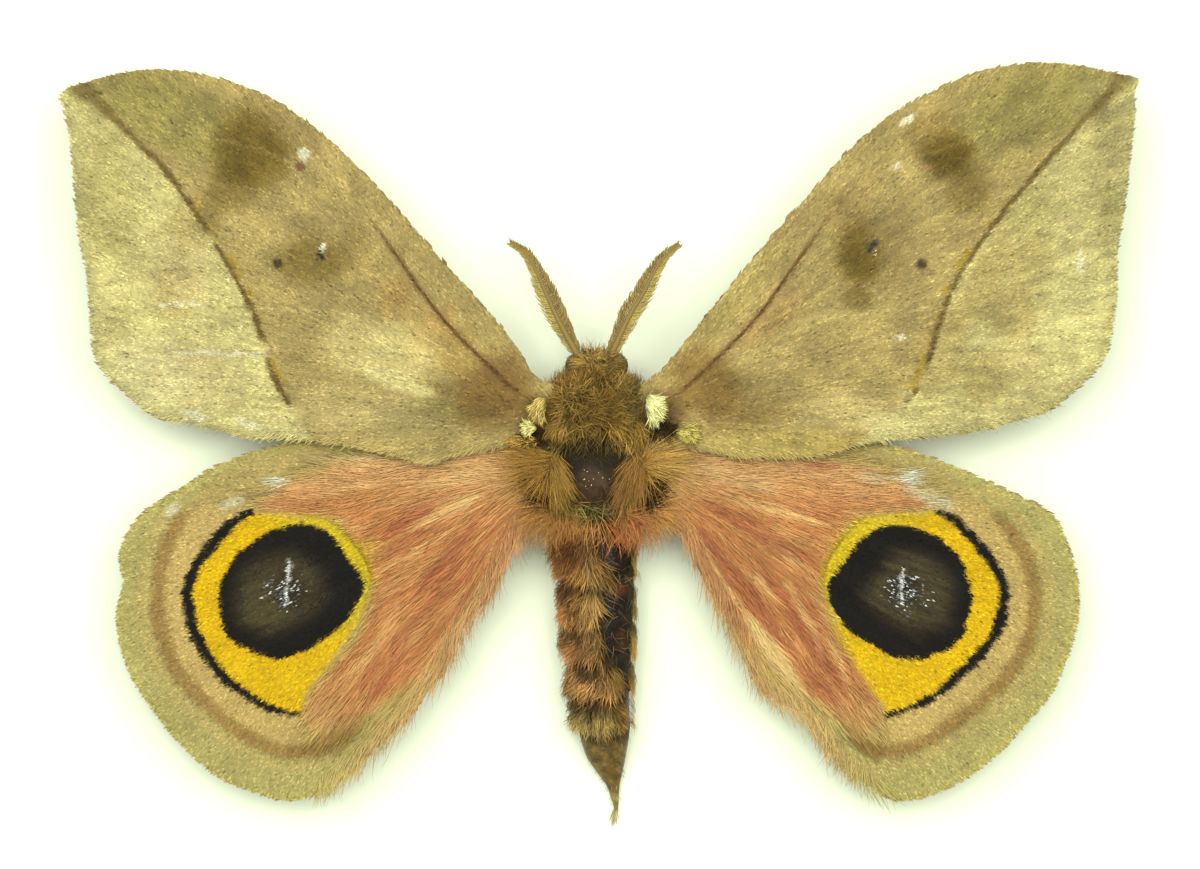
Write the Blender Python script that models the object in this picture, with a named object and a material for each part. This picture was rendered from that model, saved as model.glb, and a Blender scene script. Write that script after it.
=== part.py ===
"""A spread specimen of the silk moth Automeris zugana, life size, lying on its belly, wings out.

Sizes are in millimetres. Metres begin in mesh_object, the only place that makes a mesh.
X runs to the moth's right, Y towards its head, Z up. The origin is on the floor under the middle of
the wingspan. Outlines are for wings seen from above, with the root first and the front edge next.
"""
import math
import random

import bmesh
import bpy
import numpy as np
from mathutils import Vector
from mathutils.geometry import delaunay_2d_cdt

METRES = 0.001
GAP = 0.3

# Body
BODY_X = -0.3
THORAX_FRONT = 5.2
THORAX_BACK = -5.8
BELLY_Z = 2.4
# Sections of the body parts, from the front back: y, middle x, half width, lowest z, highest z
THORAX_SECTIONS = [
    (THORAX_FRONT, BODY_X, 2.9, 2.9, 6.5),
    (4.6, BODY_X, 3.6, 2.4, 7.2),
    (3.2, BODY_X, 4.0, 2.1, 7.8),
    (1.0, BODY_X, 4.1, 2.0, 8.1),
    (-1.2, BODY_X, 4.1, 2.0, 8.0),
    (-3.2, BODY_X, 3.9, 2.1, 7.7),
    (-4.8, BODY_X, 3.5, 2.3, 7.2),
    (THORAX_BACK, BODY_X, 2.9, 2.6, 6.6),
]
SCUTELLUM = (-0.6, -3.1, 7.1)
SCUTELLUM_RADII = (2.05, 1.9, 1.35)
SCUTELLUM_ROWS = 6
SCUTELLUM_SIDES = 14
HEAD_X = -0.2
HEAD_BACK = THORAX_FRONT + GAP
HEAD_FRONT = 7.7
HEAD_SECTIONS = [
    (HEAD_FRONT, HEAD_X, 1.2, 3.4, 6.1),
    (7.1, HEAD_X, 1.5, 2.7, 6.4),
    (6.2, HEAD_X, 1.5, 2.6, 6.5),
    (HEAD_BACK, HEAD_X, 1.35, 3.0, 6.2),
]
EYE_Y = 6.8
EYE_Z = 4.5
EYE_RADIUS = 1.15
EYE_BULGE = 1.2
EYE_SIDES = 16
EYE_HEIGHT_SHARES = (0.0, 0.35, 0.65, 0.87, 0.98)
ABDOMEN_FRONT = THORAX_BACK - GAP
ABDOMEN_SECTIONS = [
    (ABDOMEN_FRONT, -0.2, 2.6, 0.9, 6.4),
    (-7.6, -0.1, 3.2, 0.0, 6.8),
    (-9.5, 0.0, 3.2, -0.3, 6.7),
    (-11.2, 0.1, 2.9, -0.3, 6.3),
    (-13.2, 0.2, 3.0, -0.3, 6.3),
    (-14.8, 0.2, 2.75, -0.3, 5.9),
    (-16.7, 0.2, 2.85, -0.3, 5.8),
    (-18.2, 0.2, 2.55, -0.3, 5.3),
    (-19.9, 0.3, 2.6, -0.3, 5.1),
    (-21.2, 0.3, 2.3, -0.3, 4.7),
    (-23.2, 0.4, 2.35, -0.3, 4.5),
    (-24.4, 0.5, 2.3, -0.2, 4.2),
    (-26.2, 0.7, 1.8, -0.2, 3.4),
    (-28.2, 0.9, 1.1, -0.2, 2.2),
    (-30.2, 1.3, 0.5, -0.1, 1.2),
    (-31.8, 1.5, 0.28, -0.1, 0.7),
    (-32.5, 1.5, 0.12, 0.0, 0.4),
]
ROUNDNESS = 2.3
BODY_SIDES = 20

# Rows of locks: y, first and last turn about the body in degrees (0 right, 90 top), count, length,
# lift of the middle off the skin, way it lies (1 forwards, -1 backwards), splay down the flanks
THORAX_COAT = [
    (4.5, 28, 152, 8, 2.0, 0.5, 1, 0.25),
    (4.0, 24, 156, 9, 2.3, 0.6, -1, 0.5),
    (2.5, 26, 154, 8, 2.5, 0.6, -1, 0.5),
    (0.9, 30, 78, 4, 2.6, 0.6, -1, 0.6),
    (0.9, 102, 150, 4, 2.6, 0.6, -1, 0.6),
    (-0.9, 32, 60, 3, 2.5, 0.5, -1, 0.5),
    (-0.9, 120, 148, 3, 2.5, 0.5, -1, 0.5),
    (-2.5, 34, 54, 2, 2.4, 0.5, -1, 0.35),
    (-2.5, 126, 146, 2, 2.4, 0.5, -1, 0.35),
    (-3.9, 36, 60, 3, 1.7, 0.5, -1, 0.2),
    (-3.9, 120, 144, 3, 1.7, 0.5, -1, 0.2),
    (3.6, -26, -26, 1, 2.2, 0.4, -1, 0.1),
    (3.6, 206, 206, 1, 2.2, 0.4, -1, 0.1),
    (1.4, -24, -24, 1, 2.4, 0.4, -1, 0.1),
    (1.4, 204, 204, 1, 2.4, 0.4, -1, 0.1),
    (-0.9, -24, -24, 1, 2.4, 0.4, -1, 0.1),
    (-0.9, 204, 204, 1, 2.4, 0.4, -1, 0.1),
    (-3.1, -26, -26, 1, 2.2, 0.4, -1, 0.1),
    (-3.1, 206, 206, 1, 2.2, 0.4, -1, 0.1),
]
HEAD_COAT = [
    (6.75, 48, 132, 5, 1.5, 0.35, 1, 0.15),
    (7.35, 62, 118, 3, 0.9, 0.2, 1, 0.1),
]
# Locks on the face: x from the head's middle and z of each root
FACE_ROOTS = [(-0.64, 5.3), (0.0, 5.4), (0.6, 5.3), (-0.56, 4.5), (0.0, 4.4), (0.56, 4.5)]
# Face locks: depth of the root, width, and the path from it as shares of x outwards, y forwards and z
FACE_SINK = 0.4
FACE_LOCK_WIDTH = 0.75
FACE_PATH = [(0.0, 0.0, 0.0), (0.05, 0.5, 0.0), (0.1, 0.85, -0.1), (0.15, 1.15, -0.35)]
# The two palps under the face
PALP_SPREAD = 0.55
PALP_Z = 3.9
PALP_SINK = 0.7
PALP_WIDTH = 0.8
PALP_THICKNESS = 0.9
PALP_PATH = [(0.0, 0.0), (0.9, -0.4), (1.4, -0.6), (1.8, -0.95)]
ABDOMEN_COAT = [
    (-7.0, 14, 166, 9, 2.7, 0.55, -1, 0.25),
    (-8.3, 172, 196, 2, 2.6, 0.7, -1, -0.2),
    (-9.0, 92, 170, 5, 2.8, 0.6, -1, 0.2),
    (-9.0, -12, 22, 2, 2.6, 0.45, -1, 0.1),
    (-11.5, 92, 186, 6, 2.8, 0.6, -1, 0.2),
    (-11.5, -12, 22, 2, 2.6, 0.45, -1, 0.1),
    (-14.0, 92, 186, 6, 2.7, 0.5, -1, 0.15),
    (-14.0, -12, 22, 2, 2.5, 0.45, -1, 0.1),
    (-16.3, 88, 184, 6, 2.6, 0.5, -1, 0.15),
    (-16.3, -12, 22, 2, 2.4, 0.4, -1, 0.1),
    (-18.7, 66, 182, 6, 2.4, 0.45, -1, 0.1),
    (-18.7, -8, 30, 2, 2.2, 0.4, -1, 0.1),
    (-20.9, 60, 180, 6, 2.1, 0.4, -1, 0.05),
    (-22.9, 70, 170, 5, 1.5, 0.3, -1, 0.0),
]
COAT_SINK = 0.5
COAT_WIDTHS = (1.15, 1.45)
COAT_LENGTHS = (0.85, 1.15)
COAT_TURN_VARIES = 3
COAT_PLACE_VARIES = 0.2
COAT_SPLAY_VARIES = 0.15
# Three stages of a lock beyond its root: share of its length, and share of its lift
COAT_STAGES = [(0.3, 0.6), (0.68, 1.0), (1.0, 0.7)]
# Locks lie clear of what is next to the thorax: over the wing roots, the head and the abdomen
FLANK_TOP = 5.0
UNDER_WING = (2.9, 4.2)
WING_ROOT_OUT = 3.3
OVER_WING = 7.6
OVER_WING_RISE = 0.04
OVER_HEAD = (4.9, 7.3)
OVER_ABDOMEN = (THORAX_BACK + 0.5, 7.7)
# Head locks above this level rise over the feelers, and abdomen locks stay above the floor
FEELER_LEVEL = 5.8
OVER_FEELERS = 6.55
ABOVE_FLOOR = 0.7

# Feelers: the shaft's path on each side, from the head to the tip
FEELER_Z = 5.6
FEELER_RISE = 0.9
FEELER_LEFT = [(-1.9, 8.0), (-2.6, 9.4), (-3.4, 11.2), (-4.3, 13.1), (-5.3, 15.2), (-6.3, 16.6), (-7.6, 17.3)]
FEELER_RIGHT = [(1.2, 8.0), (1.9, 9.6), (2.8, 11.4), (3.8, 13.0), (4.6, 14.6), (5.6, 16.1), (6.9, 17.2)]
FEELER_STEP = 1.0
FEELER_SHAFT = 0.3
FEELER_SHAFT_TAPER = 0.4
FEELER_SIDES = 6
FEELER_BRANCH = 0.75
FEELER_BRANCH_WIDTH = 0.42
# Branch path: share of its reach outwards, then distance ahead and up
FEELER_BRANCH_PATH = [(0.0, 0.0, 0.0), (0.45, 0.15, 0.0), (0.8, 0.34, 0.0), (1.0, 0.6, -0.1)]

# Wings
WING_THICKNESS = 0.5
# Wing shapes: height at the root, rise outwards, arch across, direction of the long axis in degrees
FOREWING_SHAPE = (6.3, 0.035, 0.0015, 34.0)
HINDWING_SHAPE = (5.2, 0.02, 0.001, -43.0)
OUTLINE_STEP = 2.0
GRID_STEP = 4.5
GRID_CLEAR = 1.3
FOREWING_ROOT_Y = [4.7, 3.0, 1.2, -0.4]
HINDWING_ROOT_Y = [0.6, -1.4, -3.4, -5.0]
FOREWING_LEFT = [
    (-5.4, 5.7), (-6.8, 8.0), (-10.2, 12.2), (-13.7, 16.0), (-18.0, 21.0), (-22.3, 25.3), (-25.7, 28.1),
    (-29.2, 30.1), (-32.6, 31.3), (-36.2, 31.9), (-39.5, 31.9), (-42.9, 31.2), (-45.5, 30.2), (-46.0, 29.4),
    (-45.5, 28.6), (-45.1, 26.6), (-44.7, 21.9), (-44.3, 17.6), (-43.7, 14.6), (-43.4, 10.0), (-43.2, 8.1),
    (-42.2, 6.1), (-39.9, 4.0), (-37.5, 2.3), (-34.3, 1.7), (-30.0, 0.7), (-25.7, 0.4), (-21.8, 0.0),
    (-18.0, -0.8), (-14.4, -1.6), (-11.8, -0.8), (-8.5, -0.2), (-6.4, 0.1),
]
FOREWING_RIGHT = [
    (4.3, 5.4), (5.2, 6.2), (7.0, 8.3), (10.4, 12.5), (13.8, 16.6), (17.3, 20.6), (20.9, 24.6), (24.6, 27.9),
    (27.6, 29.7), (31.0, 31.3), (34.5, 32.3), (37.9, 32.6), (41.4, 32.3), (44.4, 31.6), (46.0, 31.1),
    (45.6, 30.0), (45.7, 28.4), (45.3, 25.0), (44.8, 20.5), (44.2, 16.4), (44.2, 13.3), (43.8, 9.7),
    (43.1, 7.3), (41.4, 5.4), (38.8, 3.2), (36.2, 2.2), (31.0, 1.0), (27.0, 0.6), (23.0, 0.2), (19.0, -0.9),
    (15.6, -1.1), (12.1, -1.0), (8.7, -0.4), (6.2, 0.0),
]
HINDWING_LEFT = [
    (-7.5, 0.9), (-12.0, 1.2), (-17.0, 1.2), (-22.0, 0.9), (-25.7, 0.3), (-29.2, -0.6), (-32.6, -1.8),
    (-36.0, -3.9), (-38.6, -5.5), (-40.3, -7.4), (-41.2, -9.8), (-40.8, -12.0), (-41.4, -14.6),
    (-41.1, -17.2), (-40.2, -19.8), (-38.8, -22.1), (-36.0, -25.6), (-33.0, -28.3), (-30.0, -29.7),
    (-27.0, -30.5), (-24.6, -30.1), (-22.3, -28.7), (-20.4, -27.4), (-18.7, -25.4), (-16.3, -23.3),
    (-14.4, -20.8), (-12.9, -18.8), (-11.8, -16.0), (-9.9, -13.5), (-8.6, -11.6), (-7.6, -9.3), (-6.6, -7.4),
    (-5.7, -6.2),
]
HINDWING_RIGHT = [
    (7.0, 0.9), (12.0, 1.0), (17.0, 0.8), (22.0, 0.3), (25.0, -0.1), (28.5, -1.2), (31.9, -2.6), (35.3, -4.1),
    (39.0, -6.2), (40.3, -8.8), (41.1, -11.7), (41.1, -15.1), (40.2, -18.3), (38.8, -21.4), (36.6, -24.0),
    (34.5, -26.3), (31.9, -28.4), (28.5, -30.1), (25.5, -30.5), (23.3, -29.3), (20.7, -27.3), (19.0, -25.0),
    (17.0, -22.9), (13.9, -21.0), (12.4, -18.3), (11.0, -15.0), (9.4, -12.4), (8.3, -10.2), (7.3, -8.0),
    (6.1, -6.2), (5.0, -5.7),
]

# Wing veins: half width and height where each starts, then its path as distance out from the middle and y
VEIN_STEP = 5.0
FOREWING_VEINS = [
    (0.5, 0.28, [(5.7, 3.6), (7.2, 4.7), (10.2, 7.5), (13.6, 11.0), (17.0, 15.7), (20.8, 21.0), (25.4, 25.9),
                 (31.0, 29.0), (38.0, 30.2), (43.6, 29.7)]),
    (0.35, 0.2, [(22.2, 21.5), (28.5, 25.0), (36.0, 26.4), (43.6, 25.4)]),
    (0.35, 0.2, [(20.6, 19.4), (28.0, 21.6), (36.0, 22.2), (43.2, 21.0)]),
    (0.35, 0.2, [(19.9, 17.2), (28.0, 18.1), (36.0, 18.2), (42.7, 16.9)]),
    (0.35, 0.2, [(20.6, 13.2), (28.0, 14.5), (36.0, 14.9), (42.4, 13.8)]),
    (0.45, 0.25, [(7.4, 3.4), (10.0, 5.7), (12.8, 7.9), (15.4, 9.3), (18.8, 10.5), (22.3, 11.2), (25.7, 11.5),
                  (34.5, 11.8), (41.9, 11.2)]),
    (0.35, 0.2, [(14.4, 7.5), (22.3, 8.1), (28.1, 8.0), (36.0, 8.0), (41.2, 7.7)]),
    (0.4, 0.2, [(6.2, 2.1), (12.0, 1.5), (18.8, 2.1), (24.0, 2.8), (28.3, 3.3), (35.0, 3.5), (37.8, 3.7)]),
]
HINDWING_VEINS = [
    (0.4, 0.15, [(6.2, -0.9), (12.0, -0.6), (18.0, -1.0), (28.0, -3.0), (35.0, -5.6), (38.4, -8.0)]),
    (0.4, 0.15, [(6.8, -2.2), (12.0, -2.7), (18.0, -4.0), (28.0, -6.8), (36.0, -10.6), (39.3, -12.8)]),
    (0.35, 0.15, [(17.5, -6.4), (26.0, -10.8), (34.0, -15.5), (38.2, -18.9)]),
    (0.35, 0.15, [(16.6, -8.7), (24.0, -14.4), (31.0, -21.0), (34.6, -24.8)]),
    (0.35, 0.15, [(15.4, -10.2), (21.0, -17.0), (26.0, -24.0), (28.2, -28.3)]),
    (0.4, 0.15, [(6.9, -3.6), (10.5, -6.4), (13.9, -11.6), (17.6, -18.0), (20.9, -25.2)]),
]
# Long hair along each hindwing's inner edge: share of the way round the edge, first and last
FRINGE_SHARES = (0.66, 0.985)
FRINGE_LOCKS = 19
FRINGE_OUTWARD = 0.5
FRINGE_ALONG = 0.8
FRINGE_ROOT = 2.9
FRINGE_REACH = 2.5
FRINGE_REACH_VARIES = (0.75, 1.15)
FRINGE_WIDTHS = (1.2, 1.6)
# Distance past the edge and lift off the membrane of the first three points, and the drop of the tip
FRINGE_PATH = [(-FRINGE_ROOT, 0.0), (-1.4, 0.4), (0.7, 0.3)]
FRINGE_DROP = 0.15

# Locks: thickness, and share of the full width at the root, then towards the tip
LOCK_THICKNESS = 0.5
LOCK_TAPER = [0.75, 1.0, 0.8, 0.45]

# Legs on the right: path from the hip to the toe, mirrored about the body for the left
LEG_RADII = [0.55, 0.6, 0.55, 0.42, 0.36, 0.3]
LEG_SIDES = 8
LEG_PATHS = {
    "fore": [
        (1.3, 3.6, 2.1), (1.6, 3.6, 1.3), (3.6, 3.7, 1.2),
        (4.7, 2.6, 0.7), (5.4, 1.9, 0.33), (6.6, 1.2, 0.28),
    ],
    "mid": [
        (1.4, 0.2, 2.1), (1.8, 0.2, 1.3), (4.2, 0.1, 1.3),
        (6.2, -0.6, 0.7), (7.4, -1.0, 0.33), (9.0, -1.3, 0.28),
    ],
    "hind": [
        (1.4, -3.4, 2.1), (1.8, -3.4, 1.3), (4.3, -3.0, 1.3),
        (6.4, -3.7, 0.7), (7.5, -4.3, 0.33), (8.9, -5.0, 0.28),
    ],
}

# Colours in linear light, with roughness
LOOKS = {
    "forewing": ((0.42, 0.31, 0.15), 0.8),
    "hindwing": ((0.52, 0.22, 0.1), 0.8),
    "thorax": ((0.17, 0.1, 0.035), 0.85),
    "abdomen": ((0.19, 0.095, 0.06), 0.75),
    "head": ((0.13, 0.075, 0.03), 0.85),
    "feeler": ((0.4, 0.28, 0.08), 0.7),
    "eye": ((0.025, 0.018, 0.012), 0.15),
    "leg": ((0.2, 0.11, 0.05), 0.8),
}


def clear_scene():
    for item in list(bpy.data.objects):
        bpy.data.objects.remove(item)


def look(name):
    material = bpy.data.materials.get(name)
    if material is None:
        colour, roughness = LOOKS[name]
        material = bpy.data.materials.new(name)
        material.use_nodes = True
        shader = material.node_tree.nodes["Principled BSDF"]
        shader.inputs["Base Color"].default_value = (*colour, 1.0)
        shader.inputs["Roughness"].default_value = roughness
        shader.inputs["Metallic"].default_value = 0.0
    return material


def mesh_object(name, points, faces, material):
    """Make a closed mesh from points in millimetres, with its faces turned outwards."""
    mesh = bpy.data.meshes.new(name)
    mesh.from_pydata([tuple(METRES * value for value in point) for point in points], [], faces)
    shape = bmesh.new()
    shape.from_mesh(mesh)
    bmesh.ops.recalc_face_normals(shape, faces=shape.faces)
    shape.to_mesh(mesh)
    shape.free()
    mesh.materials.append(look(material))
    mesh.shade_smooth()
    mesh.set_sharp_from_angle(angle=math.radians(40))
    item = bpy.data.objects.new(name, mesh)
    bpy.context.scene.collection.objects.link(item)
    return item


def signed_power(value, power):
    return math.copysign(abs(value) ** power, value)


def section_ring(y, middle, half_width, low, high, floor):
    """One rounded ring across the body, cut off flat where it would go under the floor level."""
    ring = []
    centre = (low + high) / 2
    half_height = (high - low) / 2
    for index in range(BODY_SIDES):
        turn = 2 * math.pi * (index + 0.5) / BODY_SIDES
        x = middle + half_width * signed_power(math.cos(turn), 2 / ROUNDNESS)
        z = centre + half_height * signed_power(math.sin(turn), 2 / ROUNDNESS)
        ring.append((x, y, max(z, floor)))
    return ring


def loft(name, rings, material):
    """Join rings of equal count into one closed body with flat ends."""
    count = len(rings[0])
    points = [point for ring in rings for point in ring]
    faces = [list(range(count)), list(range(len(points) - count, len(points)))]
    for row in range(len(rings) - 1):
        for index in range(count):
            after = (index + 1) % count
            start = row * count
            faces.append((start + index, start + after, start + count + after, start + count + index))
    return mesh_object(name, points, faces, material)


def section_at(sections, y):
    """The middle x, half width, lowest z and highest z of a body part at a place along it."""
    rows = sorted(sections)
    places = [row[0] for row in rows]
    return [float(np.interp(y, places, [row[column] for row in rows])) for column in range(1, 5)]


def skin_point(sections, y, degrees):
    """A point of the skin, the way out of it there, and the way down its flank."""
    middle, half_width, low, high = section_at(sections, y)
    half_height = (high - low) / 2
    turn = math.radians(degrees)
    place = Vector((
        middle + half_width * signed_power(math.cos(turn), 2 / ROUNDNESS),
        y,
        low + half_height + half_height * signed_power(math.sin(turn), 2 / ROUNDNESS),
    ))
    out = Vector((math.cos(turn) / half_width, 0.0, math.sin(turn) / half_height)).normalized()
    down = Vector((out.z, 0.0, -out.x)) * (1 if math.cos(turn) >= 0 else -1)
    return place, out, down


def coat(sections, rows, clear, seed, material):
    """Locks in overlapping rows round a body part. The clear function moves a point off its neighbours."""
    draw = random.Random(seed)
    locks = []
    for y, first, last, count, length, lift, way, splay in rows:
        for index in range(count):
            degrees = first + (last - first) * (index / (count - 1) if count > 1 else 0.5)
            degrees += draw.uniform(-COAT_TURN_VARIES, COAT_TURN_VARIES)
            root_y = y + draw.uniform(-COAT_PLACE_VARIES, COAT_PLACE_VARIES)
            place, out, down = skin_point(sections, root_y, degrees)
            own_splay = splay + draw.uniform(-COAT_SPLAY_VARIES, COAT_SPLAY_VARIES)
            lie = (Vector((0, way, 0)) + down * own_splay).normalized()
            reach = length * draw.uniform(*COAT_LENGTHS)
            path = [place - out * COAT_SINK]
            for along, rise in COAT_STAGES:
                path.append(clear(place + lie * (along * reach) + out * (rise * lift)))
            locks.append(lock("lock", path, draw.uniform(*COAT_WIDTHS), LOCK_THICKNESS, material))
    return locks


def full_turn(sides):
    return [2 * math.pi * index / sides for index in range(sides)]


def make_scutellum():
    """The bare dome at the back of the thorax."""
    rings = []
    for row in range(1, SCUTELLUM_ROWS):
        fall = math.pi * row / SCUTELLUM_ROWS
        rings.append([(
            SCUTELLUM[0] + SCUTELLUM_RADII[0] * math.sin(fall) * math.cos(turn),
            SCUTELLUM[1] + SCUTELLUM_RADII[1] * math.sin(fall) * math.sin(turn),
            SCUTELLUM[2] + SCUTELLUM_RADII[2] * math.cos(fall),
        ) for turn in full_turn(SCUTELLUM_SIDES)])
    return loft("scutellum", rings, "thorax")


def clear_of_thorax_neighbours(point):
    """Over the wing roots, the head and the abdomen a lock lies above them. Under the wings it lies below."""
    out = abs(point.x - BODY_X)
    if point.z < FLANK_TOP:
        return Vector((point.x, point.y, min(max(point.z, UNDER_WING[0]), UNDER_WING[1])))
    lowest = 0.0
    if out > WING_ROOT_OUT:
        lowest = OVER_WING + OVER_WING_RISE * (out - WING_ROOT_OUT)
    if point.y > OVER_HEAD[0]:
        lowest = max(lowest, OVER_HEAD[1])
    if point.y < OVER_ABDOMEN[0]:
        lowest = max(lowest, OVER_ABDOMEN[1])
    return Vector((point.x, point.y, max(point.z, lowest)))


def make_thorax():
    rings = [section_ring(*section, BELLY_Z) for section in THORAX_SECTIONS]
    thorax = loft("thorax", rings, "thorax")
    pieces = coat(THORAX_SECTIONS, THORAX_COAT, clear_of_thorax_neighbours, 3, "thorax")
    pieces.append(make_scutellum())
    return fuse(thorax, pieces)


def clear_of_feelers(point):
    if point.z <= FEELER_LEVEL:
        return point
    return Vector((point.x, point.y, max(point.z, OVER_FEELERS)))


def make_head():
    rings = [section_ring(*section, 0.0) for section in HEAD_SECTIONS]
    head = loft("head", rings, "head")
    pieces = coat(HEAD_SECTIONS, HEAD_COAT, clear_of_feelers, 5, "head")
    for x, z in FACE_ROOTS:
        root = Vector((HEAD_X + x, HEAD_FRONT - FACE_SINK, z))
        path = [root + Vector((out * x, ahead, rise)) for out, ahead, rise in FACE_PATH]
        pieces.append(lock("face", path, FACE_LOCK_WIDTH, LOCK_THICKNESS, "head"))
    for side in (-1, 1):
        root = Vector((HEAD_X + side * PALP_SPREAD, HEAD_FRONT - PALP_SINK, PALP_Z))
        path = [root + Vector((0, ahead, rise)) for ahead, rise in PALP_PATH]
        pieces.append(lock("palp", path, PALP_WIDTH, PALP_THICKNESS, "head"))
    return fuse(head, pieces)


def clear_of_floor(point):
    return Vector((point.x, point.y, max(point.z, ABOVE_FLOOR)))


def make_abdomen():
    rings = [section_ring(*section, 0.0) for section in ABDOMEN_SECTIONS]
    abdomen = loft("abdomen", rings, "abdomen")
    return fuse(abdomen, coat(ABDOMEN_SECTIONS, ABDOMEN_COAT, clear_of_floor, 7, "abdomen"))


def make_eye(name, side):
    """A dome that stands on the flat side of the head, across the touching gap."""
    base = max(section[2] for section in HEAD_SECTIONS) + GAP
    rings = []
    for height_share in EYE_HEIGHT_SHARES:
        radius = EYE_RADIUS * math.sqrt(1 - height_share ** 2)
        x = HEAD_X + side * (base + EYE_BULGE * height_share)
        turns = full_turn(EYE_SIDES)
        rings.append([(x, EYE_Y + radius * math.cos(turn), EYE_Z + radius * math.sin(turn)) for turn in turns])
    return loft(name, rings, "eye")


def smooth_path(points, steps):
    """A smooth open path through the points, with the given number of steps between neighbours."""
    points = [Vector(point) for point in points]
    ends = [2 * points[0] - points[1]] + points + [2 * points[-1] - points[-2]]
    path = []
    for index in range(1, len(ends) - 2):
        before, start, end, after = ends[index - 1:index + 3]
        for step in range(steps):
            t = step / steps
            path.append(0.5 * (
                2 * start + (end - before) * t
                + (2 * before - 5 * start + 4 * end - after) * t ** 2
                + (3 * start - before - 3 * end + after) * t ** 3
            ))
    path.append(points[-1])
    return path


def spaced(path, spacing):
    """Points evenly spaced along a path, about the given distance apart, with both ends kept."""
    lengths = [0.0]
    for start, end in zip(path, path[1:]):
        lengths.append(lengths[-1] + (end - start).length)
    count = max(2, round(lengths[-1] / spacing) + 1)
    wanted = np.linspace(0.0, lengths[-1], count)
    columns = [np.interp(wanted, lengths, [point[axis] for point in path]) for axis in range(len(path[0]))]
    return [Vector(values) for values in zip(*columns)]


def tube(name, path, radii, sides, floor, material):
    """A closed tube of rings along the path, flat where it meets the floor."""
    rings = []
    for index, point in enumerate(path):
        ahead = (path[min(index + 1, len(path) - 1)] - path[max(index - 1, 0)]).normalized()
        across = ahead.cross(Vector((0, 0, 1)))
        across = across.normalized() if across.length > 0.3 else Vector((0, 1, 0))
        upward = across.cross(ahead)
        ring = []
        for corner in range(sides):
            turn = 2 * math.pi * (corner + 0.5) / sides
            place = point + radii[index] * (across * math.cos(turn) + upward * math.sin(turn))
            ring.append((place.x, place.y, max(place.z, floor)))
        rings.append(ring)
    return loft(name, rings, material)


def lock(name, path, width, thickness, material):
    """A flat lock, full width at its second point, that tapers along its path to a thin tip."""
    last = len(path) - 1
    rings = []
    for index, point in enumerate(path[:-1]):
        ahead = (path[index + 1] - path[max(index - 1, 0)]).normalized()
        across = ahead.cross(Vector((0, 0, 1)))
        across = across.normalized() if across.length > 0.1 else Vector((1, 0, 0))
        upward = across.cross(ahead)
        share = LOCK_TAPER[round(index * (len(LOCK_TAPER) - 1) / last)]
        half = across * width * share / 2
        rise = upward * thickness * (0.5 + 0.5 * share) / 2
        rings.append([point + half, point + rise, point - half, point - rise])
    points = [corner for ring in rings for corner in ring] + [path[-1]]
    tip = len(points) - 1
    faces = [(0, 1, 2, 3)]
    for row in range(len(rings) - 1):
        for index in range(4):
            after = (index + 1) % 4
            start = 4 * row
            faces.append((start + index, start + after, start + 4 + after, start + 4 + index))
    for index in range(4):
        faces.append((tip - 4 + index, tip - 4 + (index + 1) % 4, tip))
    return mesh_object(name, points, faces, material)


def keep_largest_surface(mesh):
    """Drop every closed surface of a mesh but its largest."""
    shape = bmesh.new()
    shape.from_mesh(mesh)
    shape.faces.ensure_lookup_table()
    left = set(shape.faces)
    surfaces = []
    while left:
        surface = set()
        edge = [left.pop()]
        while edge:
            face = edge.pop()
            surface.add(face)
            for side in face.edges:
                for neighbour in side.link_faces:
                    if neighbour in left:
                        left.remove(neighbour)
                        edge.append(neighbour)
        surfaces.append(surface)
    largest = max(surfaces, key=lambda surface: sum(face.calc_area() for face in surface))
    spare = [face for surface in surfaces if surface is not largest for face in surface]
    bmesh.ops.delete(shape, geom=spare, context="FACES")
    bmesh.ops.triangulate(shape, faces=shape.faces)
    shape.to_mesh(mesh)
    shape.free()


def fuse(base, pieces):
    """Join closed pieces to the base with one Boolean union."""
    group = bpy.data.collections.new(base.name + "_pieces")
    bpy.context.scene.collection.children.link(group)
    for piece in pieces:
        group.objects.link(piece)
    union = base.modifiers.new("union", "BOOLEAN")
    union.operation = "UNION"
    union.operand_type = "COLLECTION"
    union.collection = group
    union.solver = "EXACT"
    graph = bpy.context.evaluated_depsgraph_get()
    joined = bpy.data.meshes.new_from_object(base.evaluated_get(graph))
    base.modifiers.clear()
    base.data = joined
    for piece in pieces:
        bpy.data.objects.remove(piece)
    bpy.data.collections.remove(group)
    keep_largest_surface(joined)
    joined.shade_smooth()
    joined.set_sharp_from_angle(angle=math.radians(40))
    return base


def make_feeler(name, route):
    """A shaft with a row of curved branches along each side, longest at a third of its length."""
    path = spaced(smooth_path([(x, y, 0.0) for x, y in route], 6), FEELER_STEP)
    last = len(path) - 1
    for index, point in enumerate(path):
        point.z = FEELER_Z + FEELER_RISE * index / last
    sizes = [FEELER_SHAFT * (1.0 - FEELER_SHAFT_TAPER * index / last) for index in range(last + 1)]
    shaft = tube(name, path, sizes, FEELER_SIDES, 0.0, "feeler")
    branches = []
    for index in range(1, last):
        share = index / last
        reach = FEELER_BRANCH * min(1.0, 0.55 + 1.8 * share, 0.3 + 1.4 * (1 - share))
        ahead = (path[index + 1] - path[index - 1]).normalized()
        for hand in (-1, 1):
            across = hand * ahead.cross(Vector((0, 0, 1))).normalized()
            route_out = [
                path[index] + across * (out * reach) + ahead * forward + Vector((0, 0, rise))
                for out, forward, rise in FEELER_BRANCH_PATH
            ]
            branches.append(lock("branch", route_out, FEELER_BRANCH_WIDTH, FEELER_BRANCH_WIDTH, "feeler"))
    return fuse(shaft, branches)


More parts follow.
